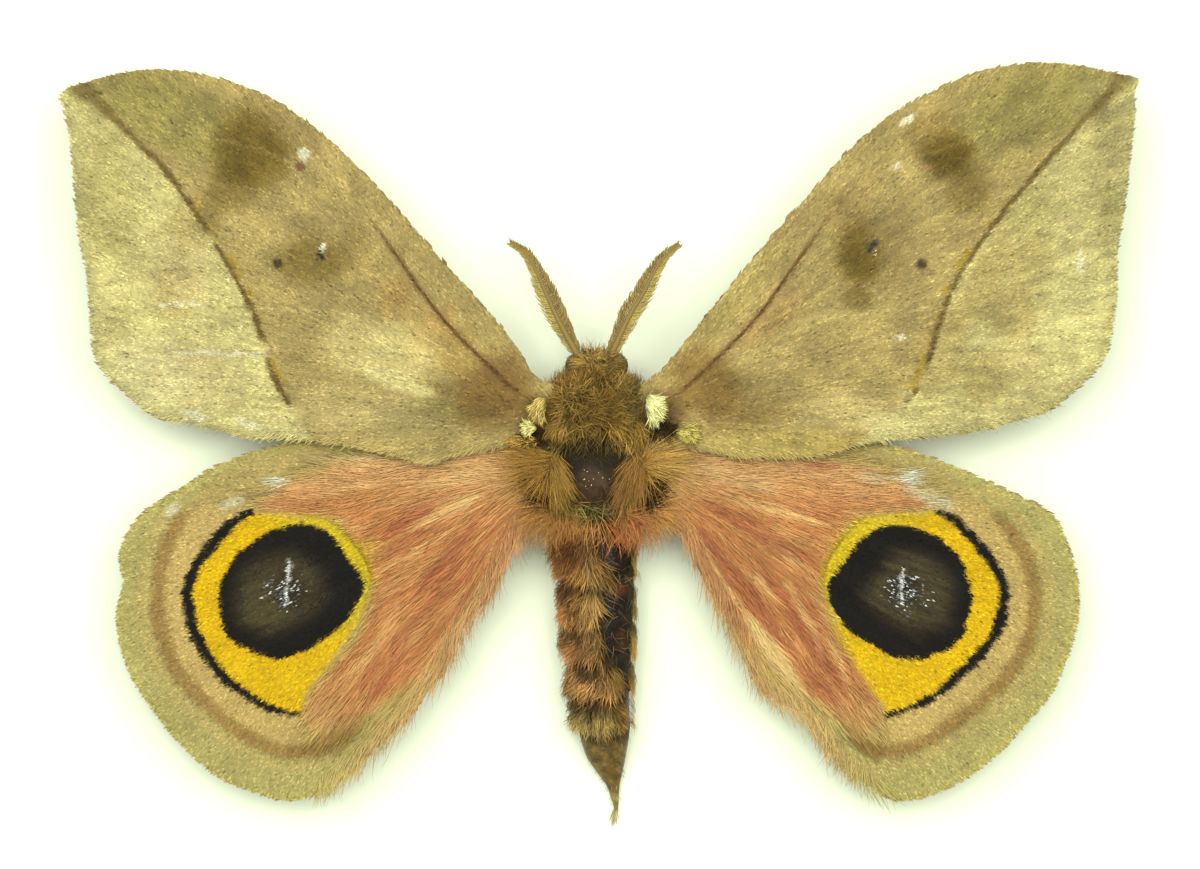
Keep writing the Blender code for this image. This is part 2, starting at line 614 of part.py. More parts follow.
def make_leg(name, route, side):
    path = [Vector((BODY_X + side * x, y, z)) for x, y, z in route]
    return tube(name, path, LEG_RADII, LEG_SIDES, 0.0, "leg")


def wing_height(point, root, level, rise, arch, axis_degrees):
    """Height of the middle of the membrane: it rises outwards and arches across its long axis."""
    out = abs(point[0] - root[0])
    forward = point[1] - root[1]
    axis = math.radians(axis_degrees)
    across = forward * math.cos(axis) - out * math.sin(axis)
    return level + rise * out - arch * across ** 2


def inside(point, outline):
    """Whether a point is inside a closed outline."""
    hits = 0
    for start, end in zip(outline, outline[1:] + outline[:1]):
        if (start[1] > point[1]) != (end[1] > point[1]):
            crossing = start[0] + (point[1] - start[1]) * (end[0] - start[0]) / (end[1] - start[1])
            hits += crossing > point[0]
    return hits % 2 == 1


def grid_points(outline, corners):
    """Inner points, in staggered rows, clear of the outline and of the veins."""
    low_x = min(point[0] for point in outline)
    high_x = max(point[0] for point in outline)
    low_y = min(point[1] for point in outline)
    high_y = max(point[1] for point in outline)
    points = []
    for row in range(int((high_y - low_y) / GRID_STEP) + 1):
        for column in range(int((high_x - low_x) / GRID_STEP) + 1):
            x = low_x + (column + 0.5 * (row % 2)) * GRID_STEP
            y = low_y + row * GRID_STEP
            clear = min(math.hypot(x - place[0], y - place[1]) for place in corners)
            if clear > GRID_CLEAR and inside((x, y), outline):
                points.append(Vector((x, y)))
    return points


def vein_lines(veins, side, first):
    """Each vein as a crest between two rails: its points, their heights, and the edges that join them."""
    points = []
    heights = []
    edges = []
    for half_width, height, route in veins:
        crest = spaced(smooth_path([(side * out, y) for out, y in route], 4), VEIN_STEP)
        last = len(crest) - 1
        start = first + len(points)
        rails = [[start], [start], [start]]
        points.append(crest[0])
        heights.append(0.0)
        for index in range(1, last):
            share = index / last
            ahead = (crest[index + 1] - crest[index - 1]).normalized()
            across = Vector((-ahead.y, ahead.x)) * half_width * (1 - 0.3 * share)
            for rail, place in enumerate((crest[index] - across, crest[index], crest[index] + across)):
                rails[rail].append(first + len(points))
                points.append(place)
                heights.append(height * (1 - 0.4 * share) if rail == 1 else 0.0)
        for rail in rails:
            rail.append(first + len(points))
            edges += list(zip(rail, rail[1:]))
        points.append(crest[-1])
        heights.append(0.0)
    return points, heights, edges


def make_wing(name, edge, root_y, side, shape, veins, material):
    """A thin plate split into the same triangles on both faces, with the veins raised in the upper one."""
    root = [(BODY_X + side * (section_at(THORAX_SECTIONS, y)[1] + GAP), y) for y in root_y]
    free_edge = spaced(smooth_path([root[0]] + edge + [root[-1]], 4), OUTLINE_STEP)
    outline = [Vector(point) for point in root[::-1]] + free_edge[1:-1]
    vein_points, vein_heights, vein_edges = vein_lines(veins, side, len(outline))
    corners = outline + vein_points
    lifts = [0.0] * len(outline) + vein_heights
    inner = grid_points(outline, corners)
    lifts += [0.0] * len(inner)
    points, _, triangles, sources, _, _ = delaunay_2d_cdt(
        corners + inner, vein_edges, [list(range(len(outline)))], 1, 1e-5
    )
    middle = [wing_height(point, root[1], *shape) for point in points]
    half = WING_THICKNESS / 2
    count = len(points)
    raised = [max((lifts[source] for source in group), default=0.0) for group in sources]
    solid = [(point.x, point.y, z + half + lift) for point, z, lift in zip(points, middle, raised)]
    solid += [(point.x, point.y, z - half) for point, z in zip(points, middle)]
    faces = [tuple(triangle) for triangle in triangles]
    faces += [tuple(count + corner for corner in reversed(triangle)) for triangle in triangles]
    used = {}
    for triangle in triangles:
        for start, end in zip(triangle, triangle[1:] + triangle[:1]):
            used[frozenset((start, end))] = (start, end, used.get(frozenset((start, end))) is None)
    for start, end, once in used.values():
        if once:
            faces.append((start, end, count + end))
            faces.append((start, count + end, count + start))
    wing = mesh_object(name, solid, faces, material)
    return wing, free_edge, root[1]


def make_hindwing(name, edge, side):
    """The hindwing, with long locks rooted in the membrane that lie out over its inner edge."""
    wing, free_edge, root = make_wing(
        name, edge, HINDWING_ROOT_Y, side, HINDWING_SHAPE, HINDWING_VEINS, "hindwing"
    )
    draw = random.Random(11 if side < 0 else 12)
    locks = []
    for index in range(FRINGE_LOCKS):
        share = FRINGE_SHARES[0] + (FRINGE_SHARES[1] - FRINGE_SHARES[0]) * index / (FRINGE_LOCKS - 1)
        place = round(share * (len(free_edge) - 2))
        border = free_edge[place]
        along = (free_edge[place + 1] - free_edge[place - 1]).normalized()
        outward = Vector((along.y, -along.x)) * -side
        lie = (FRINGE_OUTWARD * outward - FRINGE_ALONG * along).normalized()
        reach = FRINGE_REACH * draw.uniform(*FRINGE_REACH_VARIES)
        path = []
        for distance, lift in FRINGE_PATH + [(reach, -FRINGE_DROP)]:
            spot = border + lie * distance
            path.append(Vector((spot.x, spot.y, wing_height(spot, root, *HINDWING_SHAPE) + lift)))
        locks.append(lock("fringe", path, draw.uniform(*FRINGE_WIDTHS), LOCK_THICKNESS, "hindwing"))
    return fuse(wing, locks)


def build():
    clear_scene()
    make_thorax()
    make_head()
    make_abdomen()
    for name, edge, side in (("forewing_left", FOREWING_LEFT, -1), ("forewing_right", FOREWING_RIGHT, 1)):
        make_wing(name, edge, FOREWING_ROOT_Y, side, FOREWING_SHAPE, FOREWING_VEINS, "forewing")
    make_hindwing("hindwing_left", HINDWING_LEFT, -1)
    make_hindwing("hindwing_right", HINDWING_RIGHT, 1)
    make_feeler("antenna_left", FEELER_LEFT)
    make_feeler("antenna_right", FEELER_RIGHT)
    for side, side_name in ((-1, "left"), (1, "right")):
        make_eye("eye_" + side_name, side)
        for leg, route in LEG_PATHS.items():
            make_leg("leg_" + leg + "_" + side_name, route, side)


build()
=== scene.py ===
"""The looks of the spread silk moth: membranes, scales, hair, shell, feelers and light round the solids.

Sizes are in millimetres until mesh_piece, which makes every mesh in metres. X runs to the moth's right,
Y towards its head, Z up. Places of markings are pixels of the 1200 x 869 photograph, turned to
millimetres by from_photo. A side of -1 is the moth's left, as seen from above, and 1 its right.
"""
import functools
import math

import bpy
import numpy as np
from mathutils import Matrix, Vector
from mathutils.geometry import delaunay_2d_cdt


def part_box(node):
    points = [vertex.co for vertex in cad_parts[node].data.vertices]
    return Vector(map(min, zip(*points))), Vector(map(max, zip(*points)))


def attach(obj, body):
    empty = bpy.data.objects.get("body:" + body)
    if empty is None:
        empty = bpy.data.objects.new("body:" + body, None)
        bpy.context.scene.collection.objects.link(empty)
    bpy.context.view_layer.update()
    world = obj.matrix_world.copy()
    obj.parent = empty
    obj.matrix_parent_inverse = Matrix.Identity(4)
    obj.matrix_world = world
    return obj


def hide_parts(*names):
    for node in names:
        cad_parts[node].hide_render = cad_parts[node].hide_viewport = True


METRES = 0.001
MM_PER_PIXEL = 0.086
PHOTO_MIDDLE = (599.0, 444.5)
SIDE_NAMES = {-1: "left", 1: "right"}

# Body sections from the front back: y, middle x, half width, lowest z, highest z
BODY_SECTIONS = [
    (8.05, -0.2, 0.35, 4.2, 5.2), (7.9, -0.2, 0.85, 3.7, 5.8), (7.6, -0.2, 1.2, 3.3, 6.1),
    (7.1, -0.2, 1.5, 2.8, 6.35), (6.2, -0.2, 1.55, 2.7, 6.4), (5.5, -0.25, 1.75, 2.9, 6.2),
    (5.1, -0.3, 2.7, 2.8, 6.5), (4.6, -0.3, 3.5, 2.4, 7.1), (3.2, -0.3, 3.9, 2.1, 7.7),
    (1.0, -0.3, 4.0, 2.0, 8.0), (-1.2, -0.3, 4.0, 2.0, 7.9), (-3.2, -0.3, 3.8, 2.1, 7.6),
    (-4.8, -0.3, 3.4, 2.2, 7.1), (-5.8, -0.25, 2.7, 1.6, 6.5), (-6.4, -0.2, 2.6, 0.9, 6.4),
    (-7.6, -0.1, 3.0, 0.35, 6.6), (-9.5, 0.0, 3.05, 0.15, 6.5), (-13.2, 0.2, 2.85, 0.1, 6.1),
    (-16.7, 0.2, 2.7, 0.1, 5.6), (-19.9, 0.3, 2.45, 0.1, 4.95), (-23.2, 0.4, 2.2, 0.1, 4.35),
    (-24.6, 0.45, 2.25, 0.1, 4.1), (-26.0, 0.5, 2.06, 0.1, 3.4), (-27.4, 0.62, 1.7, 0.1, 2.5),
    (-28.8, 0.96, 1.08, 0.1, 1.75), (-29.9, 1.25, 0.54, 0.05, 1.2), (-31.8, 1.5, 0.2, 0.05, 0.6),
    (-32.4, 1.5, 0.08, 0.12, 0.35),
]
ROUNDNESS = 2.3
SEGMENT_EDGES = [-7.4, -11.2, -14.8, -18.3, -21.4, -24.4]
SEGMENT_FLARE = 0.05
# The bare dome at the back of the thorax
DOME = (-0.6, -3.3)
DOME_RADII = (2.3, 2.2)
DOME_HEIGHT = 0.55

# Wings: height at the root, rise outwards, arch across, direction of the long axis, and the root's place
FOREWING_SHAPE = (6.3, 0.035, 0.0015, 34.0)
HINDWING_SHAPE = (5.2, 0.02, 0.001, -43.0)
WING_ROOTS = {"forewing": (-0.3, 4.31, 3.0), "hindwing": (-0.3, 4.38, -1.4)}
WING_THICKNESS = 0.12
ROOT_SINK = 1.4
FOREWING_ROOT_Y = [4.7, 3.0, 1.2, -0.4]
HINDWING_ROOT_Y = [0.6, -1.4, -3.4, -5.0]
FOREWING_LEFT = [
    (-5.4, 5.7), (-6.8, 8.0), (-10.2, 12.2), (-13.7, 16.0), (-18.0, 21.0), (-22.3, 25.3), (-25.7, 28.1),
    (-29.2, 30.1), (-32.6, 31.3), (-36.2, 31.9), (-39.5, 31.9), (-42.9, 31.2), (-45.5, 30.2), (-46.0, 29.4),
    (-45.5, 28.6), (-45.1, 26.6), (-44.7, 21.9), (-44.3, 17.6), (-43.7, 14.6), (-43.4, 10.0), (-43.2, 8.1),
    (-42.2, 6.1), (-39.9, 4.0), (-37.5, 2.3), (-34.3, 1.7), (-30.0, 0.7), (-25.7, 0.4), (-21.8, 0.0),
    (-18.0, -0.8), (-14.4, -1.6), (-11.8, -0.8), (-8.5, -0.2), (-6.4, 0.1),
]
FOREWING_RIGHT = [
    (4.3, 5.4), (5.2, 6.2), (7.0, 8.3), (10.4, 12.5), (13.8, 16.6), (17.3, 20.6), (20.9, 24.6), (24.6, 27.9),
    (27.6, 29.7), (31.0, 31.3), (34.5, 32.3), (37.9, 32.6), (41.4, 32.3), (44.4, 31.6), (46.0, 31.1),
    (45.6, 30.0), (45.7, 28.4), (45.3, 25.0), (44.8, 20.5), (44.2, 16.4), (44.2, 13.3), (43.8, 9.7),
    (43.1, 7.3), (41.4, 5.4), (38.8, 3.2), (36.2, 2.2), (31.0, 1.0), (27.0, 0.6), (23.0, 0.2), (19.0, -0.9),
    (15.6, -1.1), (12.1, -1.0), (8.7, -0.4), (6.2, 0.0),
]
HINDWING_LEFT = [
    (-7.5, 0.9), (-12.0, 1.2), (-17.0, 1.2), (-22.0, 0.9), (-25.7, 0.3), (-29.2, -0.6), (-32.6, -1.8),
    (-36.0, -3.9), (-38.6, -5.5), (-40.3, -7.4), (-41.2, -9.8), (-40.8, -12.0), (-41.4, -14.6),
    (-41.1, -17.2), (-40.2, -19.8), (-38.8, -22.1), (-36.0, -25.6), (-33.0, -28.3), (-30.0, -29.7),
    (-27.0, -30.5), (-24.6, -30.1), (-22.3, -28.7), (-20.4, -27.4), (-18.7, -25.4), (-16.3, -23.3),
    (-14.4, -20.8), (-12.9, -18.8), (-11.8, -16.0), (-9.9, -13.5), (-8.6, -11.6), (-7.6, -9.3), (-6.6, -7.4),
    (-5.7, -6.2),
]
HINDWING_RIGHT = [
    (7.0, 0.9), (12.0, 1.0), (17.0, 0.8), (22.0, 0.3), (25.0, -0.1), (28.5, -1.2), (31.9, -2.6), (35.3, -4.1),
    (39.0, -6.2), (40.3, -8.8), (41.1, -11.7), (41.1, -15.1), (40.2, -18.3), (38.8, -21.4), (36.6, -24.0),
    (34.5, -26.3), (31.9, -28.4), (28.5, -30.1), (25.5, -30.5), (23.3, -29.3), (20.7, -27.3), (19.0, -25.0),
    (17.0, -22.9), (13.9, -21.0), (12.4, -18.3), (11.0, -15.0), (9.4, -12.4), (8.3, -10.2), (7.3, -8.0),
    (6.1, -6.2), (5.0, -5.7),
]
OUTLINES = {
    ("forewing", -1): FOREWING_LEFT, ("forewing", 1): FOREWING_RIGHT,
    ("hindwing", -1): HINDWING_LEFT, ("hindwing", 1): HINDWING_RIGHT,
}
# Veins: height, then distance out from the middle and y along the path
FOREWING_VEINS = [
    (0.18, [(5.7, 3.6), (7.2, 4.7), (10.2, 7.5), (13.6, 11.0), (17.0, 15.7), (20.8, 21.0), (25.4, 25.9),
           (31.0, 29.0), (38.0, 30.2), (43.6, 29.7)]),
    (0.05, [(22.2, 21.5), (28.5, 25.0), (36.0, 26.4), (43.6, 25.4)]),
    (0.05, [(20.6, 19.4), (28.0, 21.6), (36.0, 22.2), (43.2, 21.0)]),
    (0.05, [(19.9, 17.2), (28.0, 18.1), (36.0, 18.2), (42.7, 16.9)]),
    (0.05, [(20.6, 13.2), (28.0, 14.5), (36.0, 14.9), (42.4, 13.8)]),
    (0.1, [(7.4, 3.4), (10.0, 5.7), (12.8, 7.9), (15.4, 9.3), (18.8, 10.5), (22.3, 11.2), (25.7, 11.5),
            (34.5, 11.8), (41.9, 11.2)]),
    (0.07, [(14.4, 7.5), (22.3, 8.1), (28.1, 8.0), (36.0, 8.0), (41.2, 7.7)]),
    (0.1, [(6.2, 2.1), (12.0, 1.5), (18.8, 2.1), (24.0, 2.8), (28.3, 3.3), (35.0, 3.5), (37.8, 3.7)]),
]
HINDWING_VEINS = [
    (0.1, [(6.2, -0.9), (12.0, -0.6), (18.0, -1.0), (28.0, -3.0), (35.0, -5.6), (38.4, -8.0)]),
    (0.08, [(6.8, -2.2), (12.0, -2.7), (18.0, -4.0), (28.0, -6.8), (36.0, -10.6), (39.3, -12.8)]),
    (0.05, [(17.5, -6.4), (26.0, -10.8), (34.0, -15.5), (38.2, -18.9)]),
    (0.05, [(16.6, -8.7), (24.0, -14.4), (31.0, -21.0), (34.6, -24.8)]),
    (0.05, [(15.4, -10.2), (21.0, -17.0), (26.0, -24.0), (28.2, -28.3)]),
    (0.08, [(6.9, -3.6), (10.5, -6.4), (13.9, -11.6), (17.6, -18.0), (20.9, -25.2)]),
]
VEINS = {"forewing": FOREWING_VEINS, "hindwing": HINDWING_VEINS}
SHAPES = {"forewing": FOREWING_SHAPE, "hindwing": HINDWING_SHAPE}
# Where the scales of each wing spread from: distance out from the middle and y
LIE_CENTRES = {"forewing": (2.5, 2.2), "hindwing": (2.5, -1.5)}
# Above this line from the root to the apex lies the front edge, which has no fringe
COSTA_RISE = 0.62
COSTA_FOOT = 3.5

# Colours as seen, red, green and blue from 0 to 255
TAN = (188, 166, 100)
DISTAL_TAN = (218, 206, 134)
LINE_BROWN = (100, 78, 34)
LINE_YELLOW = (178, 150, 50)
PATCH_BROWN = (106, 86, 28)
SPOT_GREY = (160, 140, 86)
RUBBED = (226, 212, 142)
BARE_WHITE = (240, 236, 200)
RUSTY = (172, 130, 72)
TERMEN_OLIVE = (186, 178, 116)
EYE_YELLOW = (236, 190, 12)
EYE_LEMON = (222, 192, 34)
EYE_BLACK = (20, 16, 9)
EYE_OLIVE = (82, 72, 42)
SPECK_WHITE = (225, 228, 215)
PEACH = (206, 177, 104)
BAND_BROWN = (158, 126, 66)
OUTER_TAN = (187, 175, 104)
RIM_GREEN = (200, 190, 104)
PINK = (204, 140, 84)
DARK_PINK = (178, 104, 68)
CREAM = (236, 196, 126)
FIELD_FRONT = (230, 190, 126)
FIELD_FOOT = (208, 172, 106)
GOLD = (220, 178, 108)
STRIP_TAN = (184, 165, 99)
EDGE_PINK = (206, 162, 110)
STREAK_WHITE = (248, 250, 238)
SPECK_BLUE = (112, 118, 120)
VEIN_DARK = (84, 56, 30)
VEIN_PALE = (206, 190, 120)
VEIN_TAN = (168, 146, 92)
SHAFT_GOLD = (150, 124, 52)
LEG_BROWN = (96, 62, 38)
LEG_WOOL = (142, 96, 58)
FACET_BROWN = (96, 88, 52)
# Pale specks on the shell are painted glints
SHELL_GLINT = (206, 198, 150)
UNDER_SPOT = (52, 42, 34)
# How much brighter the studio's light makes a colour, and how much darker hair looks than its colour
LIGHT_LEVEL = 1.6
HAIR_SHADE = 0.66
# Where a scale and a hair show most, as shares of their length
SCALE_SHOWN = 0.55
HAIR_SHOWN = 0.5

# Forewing markings: the dark line from the apex to the inner edge, and the share of it edged with yellow
DARK_LINES = {
    -1: [(84, 90), (102, 105), (125, 128), (146, 150), (163, 166), (181, 189), (198, 214), (210, 233),
         (221, 250), (236, 275), (245, 292), (255, 312), (262, 332), (268, 350), (272, 368), (280, 385),
         (290, 402)],
    1: [(1120, 80), (1095, 108), (1080, 122), (1065, 140), (1050, 155), (1025, 185), (1005, 208), (985, 235),
        (970, 255), (955, 280), (945, 302), (935, 330), (928, 355), (922, 372), (915, 390), (905, 400)],
}
YELLOW_SHARES = {-1: (0.42, 0.95), 1: (0.45, 0.97)}
# Gaps in the dark line, as shares of it from the apex
LINE_GAPS = {-1: [(0.52, 0.025), (0.85, 0.03)], 1: [(0.93, 0.04)]}
# Soft patches: middle, radii in pixels, turn in degrees, colour, strength
FOREWING_PATCHES = {
    -1: [
        ((175, 118), (84, 36), -22, (158, 147, 79), 0.8),
        ((253, 149), (38, 37), 30, PATCH_BROWN, 0.78), ((235, 188), (24, 24), 0, PATCH_BROWN, 0.45),
        ((212, 212), (14, 22), 0, PATCH_BROWN, 0.3), ((318, 222), (26, 12), 10, SPOT_GREY, 0.5),
        ((314, 262), (34, 24), 0, PATCH_BROWN, 0.55), ((322, 297), (24, 14), 0, SPOT_GREY, 0.4),
        ((281, 264), (5, 5), 0, (72, 56, 34), 0.9), ((357, 248), (14, 22), 0, PATCH_BROWN, 0.25),
        ((430, 332), (34, 12), 47, RUSTY, 0.55), ((398, 296), (20, 12), 50, RUSTY, 0.4),
        ((380, 330), (30, 18), 0, RUSTY, 0.25), ((190, 232), (22, 26), 0, (168, 148, 81), 0.45),
        ((178, 292), (22, 28), 0, (164, 141, 80), 0.45), ((190, 372), (30, 22), 0, (166, 148, 85), 0.5),
        ((465, 402), (46, 24), 10, (148, 126, 70), 0.55), ((405, 415), (60, 18), 5, (152, 141, 85), 0.5),
        ((152, 380), (50, 40), 0, (236, 226, 158), 0.85), ((112, 200), (26, 60), 0, (196, 184, 110), 0.6),
        ((300, 120), (60, 22), -40, (182, 156, 95), 0.5),
        ((240, 420), (60, 12), -8, (206, 197, 130), 0.5), ((450, 345), (30, 24), -45, (174, 144, 74), 0.5),
        ((92, 160), (12, 50), 0, (186, 174, 108), 0.5), ((270, 168), (20, 22), 0, PATCH_BROWN, 0.3),
        ((360, 346), (34, 30), 0, (226, 208, 136), 0.75), ((405, 350), (36, 32), 20, (232, 214, 138), 0.75),
        ((495, 392), (40, 34), 45, (126, 96, 46), 0.8), ((540, 418), (24, 22), 0, (118, 88, 44), 0.7),
        ((345, 408), (70, 22), 0, (208, 188, 122), 0.5), ((195, 372), (50, 30), 0, (234, 214, 148), 0.5),
        ((185, 270), (26, 36), 0, (232, 211, 144), 0.4), ((420, 322), (70, 16), -47, (192, 158, 88), 0.4),
    ],
    1: [
        ((1025, 112), (84, 38), 24, (157, 145, 79), 0.8),
        ((945, 156), (26, 22), 0, PATCH_BROWN, 0.9), ((966, 192), (22, 24), 0, PATCH_BROWN, 0.45),
        ((858, 252), (22, 34), 0, PATCH_BROWN, 0.85), ((888, 224), (26, 20), -20, SPOT_GREY, 0.75),
        ((900, 270), (18, 20), 0, SPOT_GREY, 0.35), ((856, 300), (15, 12), 0, PATCH_BROWN, 0.5),
        ((920, 265), (5, 6), 0, (78, 60, 38), 0.9), ((1030, 270), (24, 34), 0, (166, 146, 81), 0.45),
        ((1010, 316), (24, 26), 0, (162, 139, 78), 0.5), ((982, 380), (26, 26), 0, (162, 141, 78), 0.5),
        ((770, 320), (40, 14), 42, RUSTY, 0.35), ((850, 200), (30, 14), 40, (186, 156, 93), 0.4),
        ((740, 400), (50, 22), -8, (152, 128, 70), 0.5), ((800, 360), (50, 30), 10, (182, 158, 95), 0.4),
        ((1072, 310), (36, 50), 0, (222, 214, 140), 0.6), ((1108, 220), (12, 50), 0, (150, 139, 78), 0.4),
        ((740, 290), (60, 18), 48, (188, 169, 95), 0.45),
        ((780, 442), (80, 14), -3, (196, 173, 89), 0.6), ((1106, 120), (24, 48), 25, (148, 138, 86), 0.65),
        ((1100, 172), (24, 46), 0, (172, 160, 100), 0.5), ((930, 130), (26, 16), 25, (140, 112, 56), 0.45),
        ((840, 216), (24, 24), 40, (160, 134, 76), 0.35), ((885, 258), (18, 30), 0, (146, 122, 64), 0.4),
        ((984, 280), (18, 52), -25, (170, 146, 80), 0.5), ((1022, 212), (28, 28), 0, (174, 160, 94), 0.5),
        ((940, 350), (22, 50), -15, (174, 148, 82), 0.45), ((1022, 370), (24, 18), 0, (222, 202, 130), 0.5),
        ((705, 385), (40, 30), -45, (138, 106, 50), 0.7), ((660, 414), (24, 22), 0, (108, 80, 38), 0.75),
        ((750, 418), (40, 14), 5, (158, 130, 72), 0.5), ((850, 410), (46, 18), -5, (216, 194, 126), 0.5),
    ],
}
# Rubbed and torn places: middle, radii in pixels, turn, colour, strength. Their edges are sharp
FOREWING_WEAR = {
    -1: [
        ((400, 382), (38, 9), -19, RUBBED, 0.85), ((385, 353), (22, 4), 0, RUBBED, 0.5),
        ((306, 156), (7, 5), -30, BARE_WHITE, 0.9),
        ((302, 168), (5, 5), 0, (110, 62, 40), 0.6), ((182, 305), (24, 2), 0, BARE_WHITE, 0.6),
        ((225, 354), (50, 2), -2, BARE_WHITE, 0.6), ((196, 416), (12, 5), -20, BARE_WHITE, 0.6),
        ((252, 424), (14, 4), -15, BARE_WHITE, 0.6), ((324, 250), (5, 2.5), 60, BARE_WHITE, 0.9),
        ((322, 258), (2.5, 6), 10, (40, 36, 34), 0.9), ((345, 330), (2, 10), 0, RUBBED, 0.5),
    ],
    1: [
        ((905, 122), (6, 4), 30, BARE_WHITE, 1.0), ((895, 168), (4, 3), 0, BARE_WHITE, 0.8),
        ((1076, 264), (3, 13), 0, BARE_WHITE, 0.7), ((899, 338), (4, 4), 0, BARE_WHITE, 0.8),
        ((888, 424), (30, 10), -6, RUBBED, 0.75), ((872, 246), (2.5, 9), -35, (50, 54, 58), 0.9),
        ((874, 254), (2, 4), 0, BARE_WHITE, 0.8), ((925, 168), (5, 3), 0, (196, 140, 96), 0.6),
        ((905, 395), (10, 4), -10, RUBBED, 0.5),
    ],
}

# Hindwing markings: outlines and lines of the eyespot and the bands round it
DISCS = {
    -1: [(303, 524), (320, 528), (335, 540), (345, 555), (358, 572), (364, 586), (360, 600), (350, 615),
         (335, 632), (310, 648), (285, 658), (266, 657), (250, 650), (234, 642), (225, 631), (221, 615),
         (219, 600), (222, 580), (230, 565), (240, 552), (258, 538), (280, 528)],
    1: [(890, 525), (875, 530), (860, 540), (850, 555), (838, 570), (828, 583), (830, 600), (838, 618),
        (850, 632), (870, 645), (890, 655), (910, 660), (930, 657), (950, 648), (962, 637), (967, 620),
        (972, 600), (968, 580), (962, 562), (950, 548), (935, 537), (915, 528)],
}
RINGS = {
    -1: [(250, 512), (238, 520), (222, 533), (210, 548), (200, 560), (193, 573), (188, 588), (188, 600),
         (191, 618), (196, 635), (203, 648), (212, 662), (225, 678), (240, 690), (255, 700), (270, 708),
         (285, 712), (300, 714)],
    1: [(940, 512), (945, 515), (958, 523), (972, 537), (985, 553), (995, 568), (1003, 585), (1004, 600),
        (1001, 618), (995, 635), (985, 648), (972, 662), (957, 677), (945, 688), (930, 698), (915, 706),
        (900, 711), (885, 715)],
}
YELLOW_INNER = {
    -1: [(302, 708), (304, 694), (316, 674), (332, 655), (346, 636), (357, 617), (365, 600), (370, 585),
         (373, 570), (364, 552), (348, 535), (326, 521), (300, 516), (278, 514)],
    1: [(888, 709), (877, 690), (862, 668), (850, 650), (841, 632), (832, 610), (825, 590), (823, 572),
        (828, 554), (841, 536), (858, 523), (884, 517), (912, 514)],
}
BROWN_BANDS = {
    -1: [(196, 500), (180, 520), (167, 545), (160, 575), (158, 600), (160, 625), (167, 650), (178, 672),
         (195, 692), (215, 712), (235, 728), (255, 740), (275, 750), (300, 752), (330, 742), (352, 728),
         (372, 706)],
    1: [(985, 505), (1000, 520), (1022, 548), (1030, 570), (1035, 595), (1033, 620), (1028, 640), (1018, 660),
        (1000, 685), (980, 703), (955, 722), (930, 738), (905, 750), (880, 752), (856, 740), (838, 722)],
}
STREAKS = {-1: [(290, 562), (288, 580), (286, 604)], 1: [(903, 568), (901, 585), (902, 603)]}
EYE_MIDDLES = {-1: (290, 592), 1: (900, 592)}
EYE_MIDDLE_OUT = 26.2
# The olive glow lies this far outwards in the black disc
GLOW_SHIFT = 0.8
# The pink field, from the root along the eyespot and back along the inner edge
PINK_FIELDS = {
    -1: [(530, 452), (470, 452), (400, 456), (340, 466), (290, 486), (262, 506), (300, 512), (340, 514),
         (360, 540), (378, 580), (366, 630), (330, 680), (306, 712), (330, 728), (360, 716), (400, 690),
         (450, 640), (500, 580), (550, 520)],
    1: [(660, 452), (720, 452), (790, 458), (850, 466), (900, 484), (930, 504), (890, 512), (850, 514),
        (834, 540), (816, 580), (830, 630), (862, 676), (880, 712), (862, 730), (836, 716), (790, 680),
        (740, 630), (700, 580), (650, 520)],
}
# Pale and dark streaks in the pink field: two ends, half width in pixels, colour, strength
FIELD_STREAKS = {
    -1: [
        ((500, 470), (420, 486), 8, CREAM, 0.6), ((476, 498), (410, 528), 8, CREAM, 0.75),
        ((430, 540), (385, 590), 6, CREAM, 0.3), ((460, 560), (400, 640), 5, DARK_PINK, 0.4),
        ((400, 600), (350, 690), 4, CREAM, 0.3), ((440, 500), (380, 540), 8, DARK_PINK, 0.6),
        ((480, 520), (420, 590), 8, DARK_PINK, 0.55), ((420, 620), (370, 700), 6, DARK_PINK, 0.5),
        ((440, 464), (330, 478), 4, DARK_PINK, 0.45), ((385, 480), (300, 500), 3, CREAM, 0.5),
        ((500, 560), (440, 650), 5, PEACH, 0.5),
    ],
    1: [
        ((690, 465), (780, 490), 9, CREAM, 0.6), ((740, 500), (820, 524), 7, CREAM, 0.7),
        ((768, 534), (794, 562), 5, CREAM, 0.6), ((752, 566), (770, 594), 4, CREAM, 0.6),
        ((746, 616), (802, 694), 11, (238, 208, 138), 0.9), ((786, 578), (800, 612), 4, CREAM, 0.6),
        ((706, 552), (748, 624), 5, CREAM, 0.6), ((690, 452), (800, 462), 6, CREAM, 0.5),
        ((800, 604), (824, 658), 5, CREAM, 0.75), ((826, 634), (848, 684), 4, CREAM, 0.75),
        ((700, 500), (810, 560), 9, DARK_PINK, 0.55), ((700, 530), (790, 650), 10, DARK_PINK, 0.65),
        ((770, 580), (850, 700), 7, DARK_PINK, 0.6), ((770, 462), (860, 500), 5, DARK_PINK, 0.5),
    ],
}
